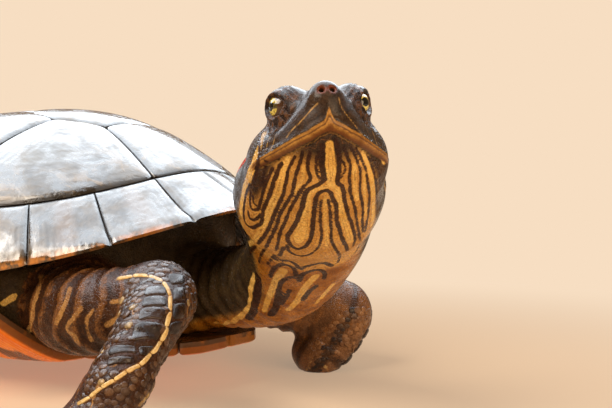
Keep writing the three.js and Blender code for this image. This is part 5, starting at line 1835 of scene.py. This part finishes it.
def pebble_roots(name, seed):
    """Which skin points carry a pebble of one limb, with the sizes and lies of these pebbles."""
    upper, lower, foot = limb_tubes[name]
    tubes = [lower, foot] + [digit_tubes[name, i] for i in range(DIGITS)]
    gap = np.min([tube.distance(skin_points) for tube in tubes], 0)
    elbow = upper.locate(skin_points)[0] / upper.length[-1]
    plates_off = np.min([np.linalg.norm(skin_points - c, axis=1) for c in plate_centres], 0)
    # below the elbow or knee, clear of the wide plates, of the floor and of the sole
    usable = (gap < 0.6) & (elbow > 0.93) & (plates_off > 3.3)
    usable &= (skin_points[:, 2] > 1.0) & (skin_normals[:, 2] > -0.75)
    if name == "fore_right":
        usable &= line_distance(skin_points, [LEG_STRIPES["ridge"], LEG_STRIPES["ridge_low"]]) > 0.35
    index = np.flatnonzero(usable)
    height = skin_points[index, 2]
    radii = np.interp(height, PEBBLE_HEIGHTS, PEBBLE_GAPS)
    chosen = index[scatter(skin_points[index], radii, seed)]
    size = np.interp(skin_points[chosen, 2], PEBBLE_HEIGHTS, PEBBLE_GAPS)
    lie = unit(np.cross(skin_normals[chosen], [0.3, 0.2, 1.0]))
    return chosen, size, lie


def points_mesh(name, places, **values):
    """A mesh of loose points with named vectors or numbers, for Geometry Nodes to read."""
    mesh = bpy.data.meshes.new(name)
    mesh.from_pydata(places.tolist(), [], [])
    store(mesh, values)
    return add_object(name, mesh)


# %% A tree that repeats one shape on points
def read(tree, name):
    return node(tree, "GeometryNodeInputNamedAttribute", {"data_type": "FLOAT_VECTOR"}, _0=name).outputs[0]


def remember_place(tree, shape):
    """Keeps each vertex's place within the shape, for its share of the unwrap."""
    place = node(tree, "GeometryNodeInputPosition").outputs[0]
    return node(tree, "GeometryNodeStoreNamedAttribute", {"data_type": "FLOAT_VECTOR", "domain": "POINT"},
                Geometry=shape.outputs[0], Name="local", Value=place)


def new_tree(name, sizes):
    tree = bpy.data.node_groups.new(name, "GeometryNodeTree")
    tree.interface.new_socket("Geometry", in_out="INPUT", socket_type="NodeSocketGeometry")
    for label, value in sizes.items():
        kind = {int: "NodeSocketInt", float: "NodeSocketFloat"}.get(type(value), "NodeSocketMaterial")
        socket = tree.interface.new_socket(label, in_out="INPUT", socket_type=kind)
        if kind != "NodeSocketMaterial":
            socket.default_value = value
    tree.interface.new_socket("Geometry", in_out="OUTPUT", socket_type="NodeSocketGeometry")
    return tree, tree.nodes.new("NodeGroupInput").outputs


def repeat_on_points(tree, given, shape, scale):
    """Instances of a shape, turned to each point's way and lie, made real and given its material."""
    turn = node(tree, "FunctionNodeAxesToRotation", {"primary_axis": "Z", "secondary_axis": "X"},
                _0=read(tree, "way"), _1=read(tree, "lie"))
    placed = node(tree, "GeometryNodeInstanceOnPoints", Points=given["Geometry"], Instance=shape,
                  Rotation=turn.outputs[0], Scale=scale)
    real = node(tree, "GeometryNodeRealizeInstances", Geometry=placed.outputs[0])
    local = node(tree, "ShaderNodeVectorMath", {"operation": "MULTIPLY_ADD"}, _0=read(tree, "local"),
                 _1=(UV_SPREAD, UV_SPREAD, 0.0), _2=read(tree, "root"))
    unwrapped = node(tree, "GeometryNodeStoreNamedAttribute", {"data_type": "FLOAT2", "domain": "CORNER"},
                     Geometry=real.outputs[0], Name="OFBake", Value=local.outputs[0])
    finished = node(tree, "GeometryNodeSetMaterial", Geometry=unwrapped.outputs[0],
                    Material=given["Material"])
    tree.links.new(finished.outputs[0], tree.nodes.new("NodeGroupOutput").inputs[0])


def run_tree(carrier, tree, name, **inputs):
    """Puts the tree on the points, sets its inputs, and returns what it makes as a plain mesh object."""
    modifier = carrier.modifiers.new("repeat", "NODES")
    modifier.node_group = tree
    for item in tree.interface.items_tree:
        if item.in_out == "INPUT" and item.name in inputs:
            modifier[item.identifier] = inputs[item.name]
    solved = carrier.evaluated_get(bpy.context.evaluated_depsgraph_get())
    mesh = bpy.data.meshes.new_from_object(solved)
    carrier.modifiers.remove(modifier)
    bpy.data.objects.remove(carrier)
    mesh.name = name
    for key in [a.name for a in mesh.attributes if a.name in ("way", "lie", "size", "root", "local")]:
        mesh.attributes.remove(mesh.attributes[key])
    piece = add_object(name, mesh)
    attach(piece, "root")
    return piece


# %% The pebble tree
pebble_tree, given = new_tree("pebbles", {"Segments": 8, "Rings": 4, "Flatness": 0.32, "Material": None})
ball = node(pebble_tree, "GeometryNodeMeshUVSphere", Segments=given["Segments"], Rings=given["Rings"],
            Radius=0.5)
soft = node(pebble_tree, "GeometryNodeSetShadeSmooth", Geometry=remember_place(pebble_tree, ball).outputs[0])
flat = node(pebble_tree, "ShaderNodeCombineXYZ", _0=1.0, _1=0.86, _2=given["Flatness"])
scale = node(pebble_tree, "ShaderNodeVectorMath", {"operation": "MULTIPLY"}, _0=flat.outputs[0],
             _1=read(pebble_tree, "size"))
repeat_on_points(pebble_tree, given, soft.outputs[0], scale.outputs[0])

# %% Lay the pebbles
for seed, name in enumerate(LIMBS):
    chosen, size, lie = pebble_roots(name, 11 + seed)
    rng = np.random.default_rng(40 + seed)
    spread = np.clip(rng.normal(1.0, 0.1, len(chosen)), 0.8, 1.15)
    roots = limb_uv(name, skin_points[chosen])
    on_hand = 1 - smoothstep(7, 14, skin_points[chosen, 2])
    left = name == "fore_left"  # its scales are low and wide, painted a lighter brown as if in warm light, with bands of painted shade
    flatness, width = (0.16, 1.75) if left else (0.27, 1.52)
    # on the left foreleg the scales are painted lighter, as if lit, and darker in the bands of painted shade
    lit = 0.55 - 0.75 * skin_tags["deep"][chosen] if left else 0.16 - 0.12 * on_hand
    carrier = points_mesh(
        "roots", to_metres(skin_points[chosen] - skin_normals[chosen] * 0.12),
        way=skin_normals[chosen], lie=lie, size=np.repeat((size * spread * width * MM)[:, None], 3, 1),
        root=np.column_stack([roots, np.zeros(len(chosen))]),
        shade=np.clip(lit + 0.05 * rng.normal(0, 1, len(chosen)), 0, 1),
        pale=np.maximum(skin_tags["pale"][chosen], 0.03))
    piece = run_tree(carrier, pebble_tree, f"pebbles_{name}", Flatness=flatness, Material=scale_finish)
    print(name, len(chosen), "pebbles,", len(piece.data.polygons), "faces")

# %% [markdown]
# ### Claws
# Each toe ends in a curved claw, long on the forefeet. A line is bent down, given a thickness that
# runs out to the tip, and swept with a small ring.

# %% Claw finish and tree
claw_finish, tree, shader, where = new_material("claw_horn", Coat_Weight=0.5, Coat_Roughness=0.15)
reach = tag(tree, "reach")
base = blend(ramp(reach, 0.1, 0.9), (0.030, 0.020, 0.014), (0.16, 0.11, 0.065))
streak = noise(where, 0.6, 4.0, 0.6)
base = paint(base, streak, 0.5, (0.012, 0.009, 0.007))
water = use(film, Vector=where, Size=3.0, Wet=0.16, Dry=0.36)
finish_material(shader, base, water["Roughness"], None, streak, 0.06, 0.7)

CLAW_STRETCH = np.array([0.92, 0.78, 1.0])  # a claw is a little deeper than it is wide
claw_tree, given = new_tree("claws", {"Steps": 9, "Around": 10, "Bend": 0.30, "Material": None})
line_curve = node(claw_tree, "GeometryNodeCurvePrimitiveLine", _0=(0.0, 0.0, 0.0), _1=(0.0, 0.0, 1.0))
steps = node(claw_tree, "GeometryNodeResampleCurve", Curve=line_curve.outputs[0], Count=given["Steps"])
share = node(claw_tree, "GeometryNodeSplineParameter").outputs[0]
drop = times(times(share, share), times(given["Bend"], -1.0))
bent = node(claw_tree, "GeometryNodeSetPosition", Geometry=steps.outputs[0],
            Offset=node(claw_tree, "ShaderNodeCombineXYZ", _0=drop, _1=0.0, _2=0.0).outputs[0])
thin = calc("POWER", minus(1.0, times(share, 0.985)), 0.8)
sized = node(claw_tree, "GeometryNodeSetCurveRadius", Curve=bent.outputs[0], Radius=thin)
marked = node(claw_tree, "GeometryNodeStoreNamedAttribute", {"data_type": "FLOAT", "domain": "POINT"},
              Geometry=sized.outputs[0], Name="reach", Value=share)
circle = node(claw_tree, "GeometryNodeCurvePrimitiveCircle", Resolution=given["Around"], Radius=0.125)
swept = node(claw_tree, "GeometryNodeCurveToMesh", Curve=marked.outputs[0],
             Profile_Curve=circle.outputs[0], Fill_Caps=True)
soft = node(claw_tree, "GeometryNodeSetShadeSmooth", Geometry=swept.outputs[0])
repeat_on_points(claw_tree, given, remember_place(claw_tree, soft).outputs[0], read(claw_tree, "size"))

places, ways, lies, sizes, roots = [], [], [], [], []
for name, limb in LIMBS.items():
    for i in range(DIGITS):
        reach = digit_reach(limb, i)
        start = np.array(digit_line(limb, i, reach - 1.2, 2.15))
        places.append(start)
        ways.append(unit(np.array(digit_line(limb, i, reach + 5, 2.95)) - start))
        lies.append([0, 0, 1.0])
        sizes.append(limb["claw"] * 0.95 * CLAW_STRETCH)
        roots.append([*limb_uv(name, start[None])[0], 0.0])
carrier = points_mesh("claw_roots", to_metres(np.array(places)), way=ways, lie=lies,
                      size=np.array(sizes) * MM, root=roots)
claws = run_tree(carrier, claw_tree, "claws", Material=claw_finish)
print("claws:", len(places), "with", len(claws.data.polygons), "faces")

# %% [markdown]
# ## Floor, light and camera
# The room is plain and warm: a pale floor that runs out into a pale backdrop. The world is dim for
# everything but the camera, so that the wet shell mirrors only the panels. A cool panel over and behind
# the animal gives the glare on the shell, and is hidden from matt reflection. The key light stands at
# the turtle's right, a little behind its head, and a low warm panel in front lights the throat.

# %% Floor
BACKDROP = (0.93, 0.73, 0.54)
FLOOR_HALF, FADE_START, FADE_END, GLOW = 6.0, 0.0, 0.42, 0.30
floor_mesh = bpy.data.meshes.new("floor")
corners = [(x * FLOOR_HALF, y * FLOOR_HALF, 0) for x, y in ((-1, -1), (1, -1), (1, 1), (-1, 1))]
floor_mesh.from_pydata(corners, [], [(0, 1, 2, 3)])
floor_finish, tree, shader, where = new_material(
    "floor_paint", Roughness=0.6, Specular_IOR_Level=0.0, Emission_Strength=1.0)
away = node(tree, "ShaderNodeVectorMath", {"operation": "LENGTH"}, _0=where).outputs[1]
far = ramp(away, FADE_START, FADE_END, GLOW, 1.0)
shade = blend(noise(where, 180.0, 3.0), (0.80, 0.60, 0.40), (0.86, 0.65, 0.44))
tree.links.new(blend(far, (0.0, 0.0, 0.0), BACKDROP), shader.inputs["Emission Color"])
finish_material(shader, blend(far, shade, (0.0, 0.0, 0.0)), None, None, noise(where, 8.0, 2.0), 0.05, 0.2)
floor_mesh.materials.append(floor_finish)
floor = add_object("floor", floor_mesh)


# %% Lights
def panel(name, place_m, aim_m, size, power, colour, matt=True):
    """A soft light; without matt it shows only in glossy reflections."""
    light = bpy.data.lights.new(name, "AREA")
    light.shape, light.size, light.size_y = "RECTANGLE", size[0], size[1]
    light.energy, light.color = power, colour
    lamp = add_object(name, light)
    lamp.visible_diffuse = matt
    lamp.location = place_m
    lamp.rotation_euler = (Vector(aim_m) - Vector(place_m)).to_track_quat("-Z", "Y").to_euler()


panel("sky_glare", (0.10, 0.10, 0.62), (-0.02, -0.02, 0.04), (1.5, 1.1), 38.0, (0.80, 0.90, 1.0), matt=False)
panel("key_panel", (-0.58, 0.08, 0.50), (-0.05, -0.11, 0.05), (0.4, 0.4), 6.5, (1.0, 0.88, 0.74))
panel("warm_fill", (-0.26, -0.70, 0.16), (-0.05, -0.12, 0.05), (0.6, 0.3), 3.6, (1.0, 0.74, 0.48))
world = bpy.data.worlds.new("studio")
world.use_nodes = True
tree = world.node_tree
background = tree.nodes["Background"]
seen = node(tree, "ShaderNodeLightPath").outputs["Is Camera Ray"]
tree.links.new(blend(seen, (0.28, 0.185, 0.11), BACKDROP), background.inputs["Color"])
bpy.context.scene.world = world
bpy.context.scene.view_settings.view_transform = "Standard"

# %% Camera
eye_point = (CAMERA_PLACE - BOX_MIDDLE) * MM
camera = add_object("camera", bpy.data.cameras.new("camera"))
camera.data.sensor_width, camera.data.lens = 36.0, FOCAL_PIXELS / VIEW_WIDTH * 36
camera.data.clip_start = 0.005
rows = [[CAMERA_RIGHT[i], CAMERA_UP[i], -CAMERA_AHEAD[i], eye_point[i]] for i in range(3)]
camera.matrix_world = Matrix(rows + [[0, 0, 0, 1]])
bpy.context.scene.camera = camera
print("camera", np.round(eye_point, 3), "lens", round(camera.data.lens, 1), "mm")
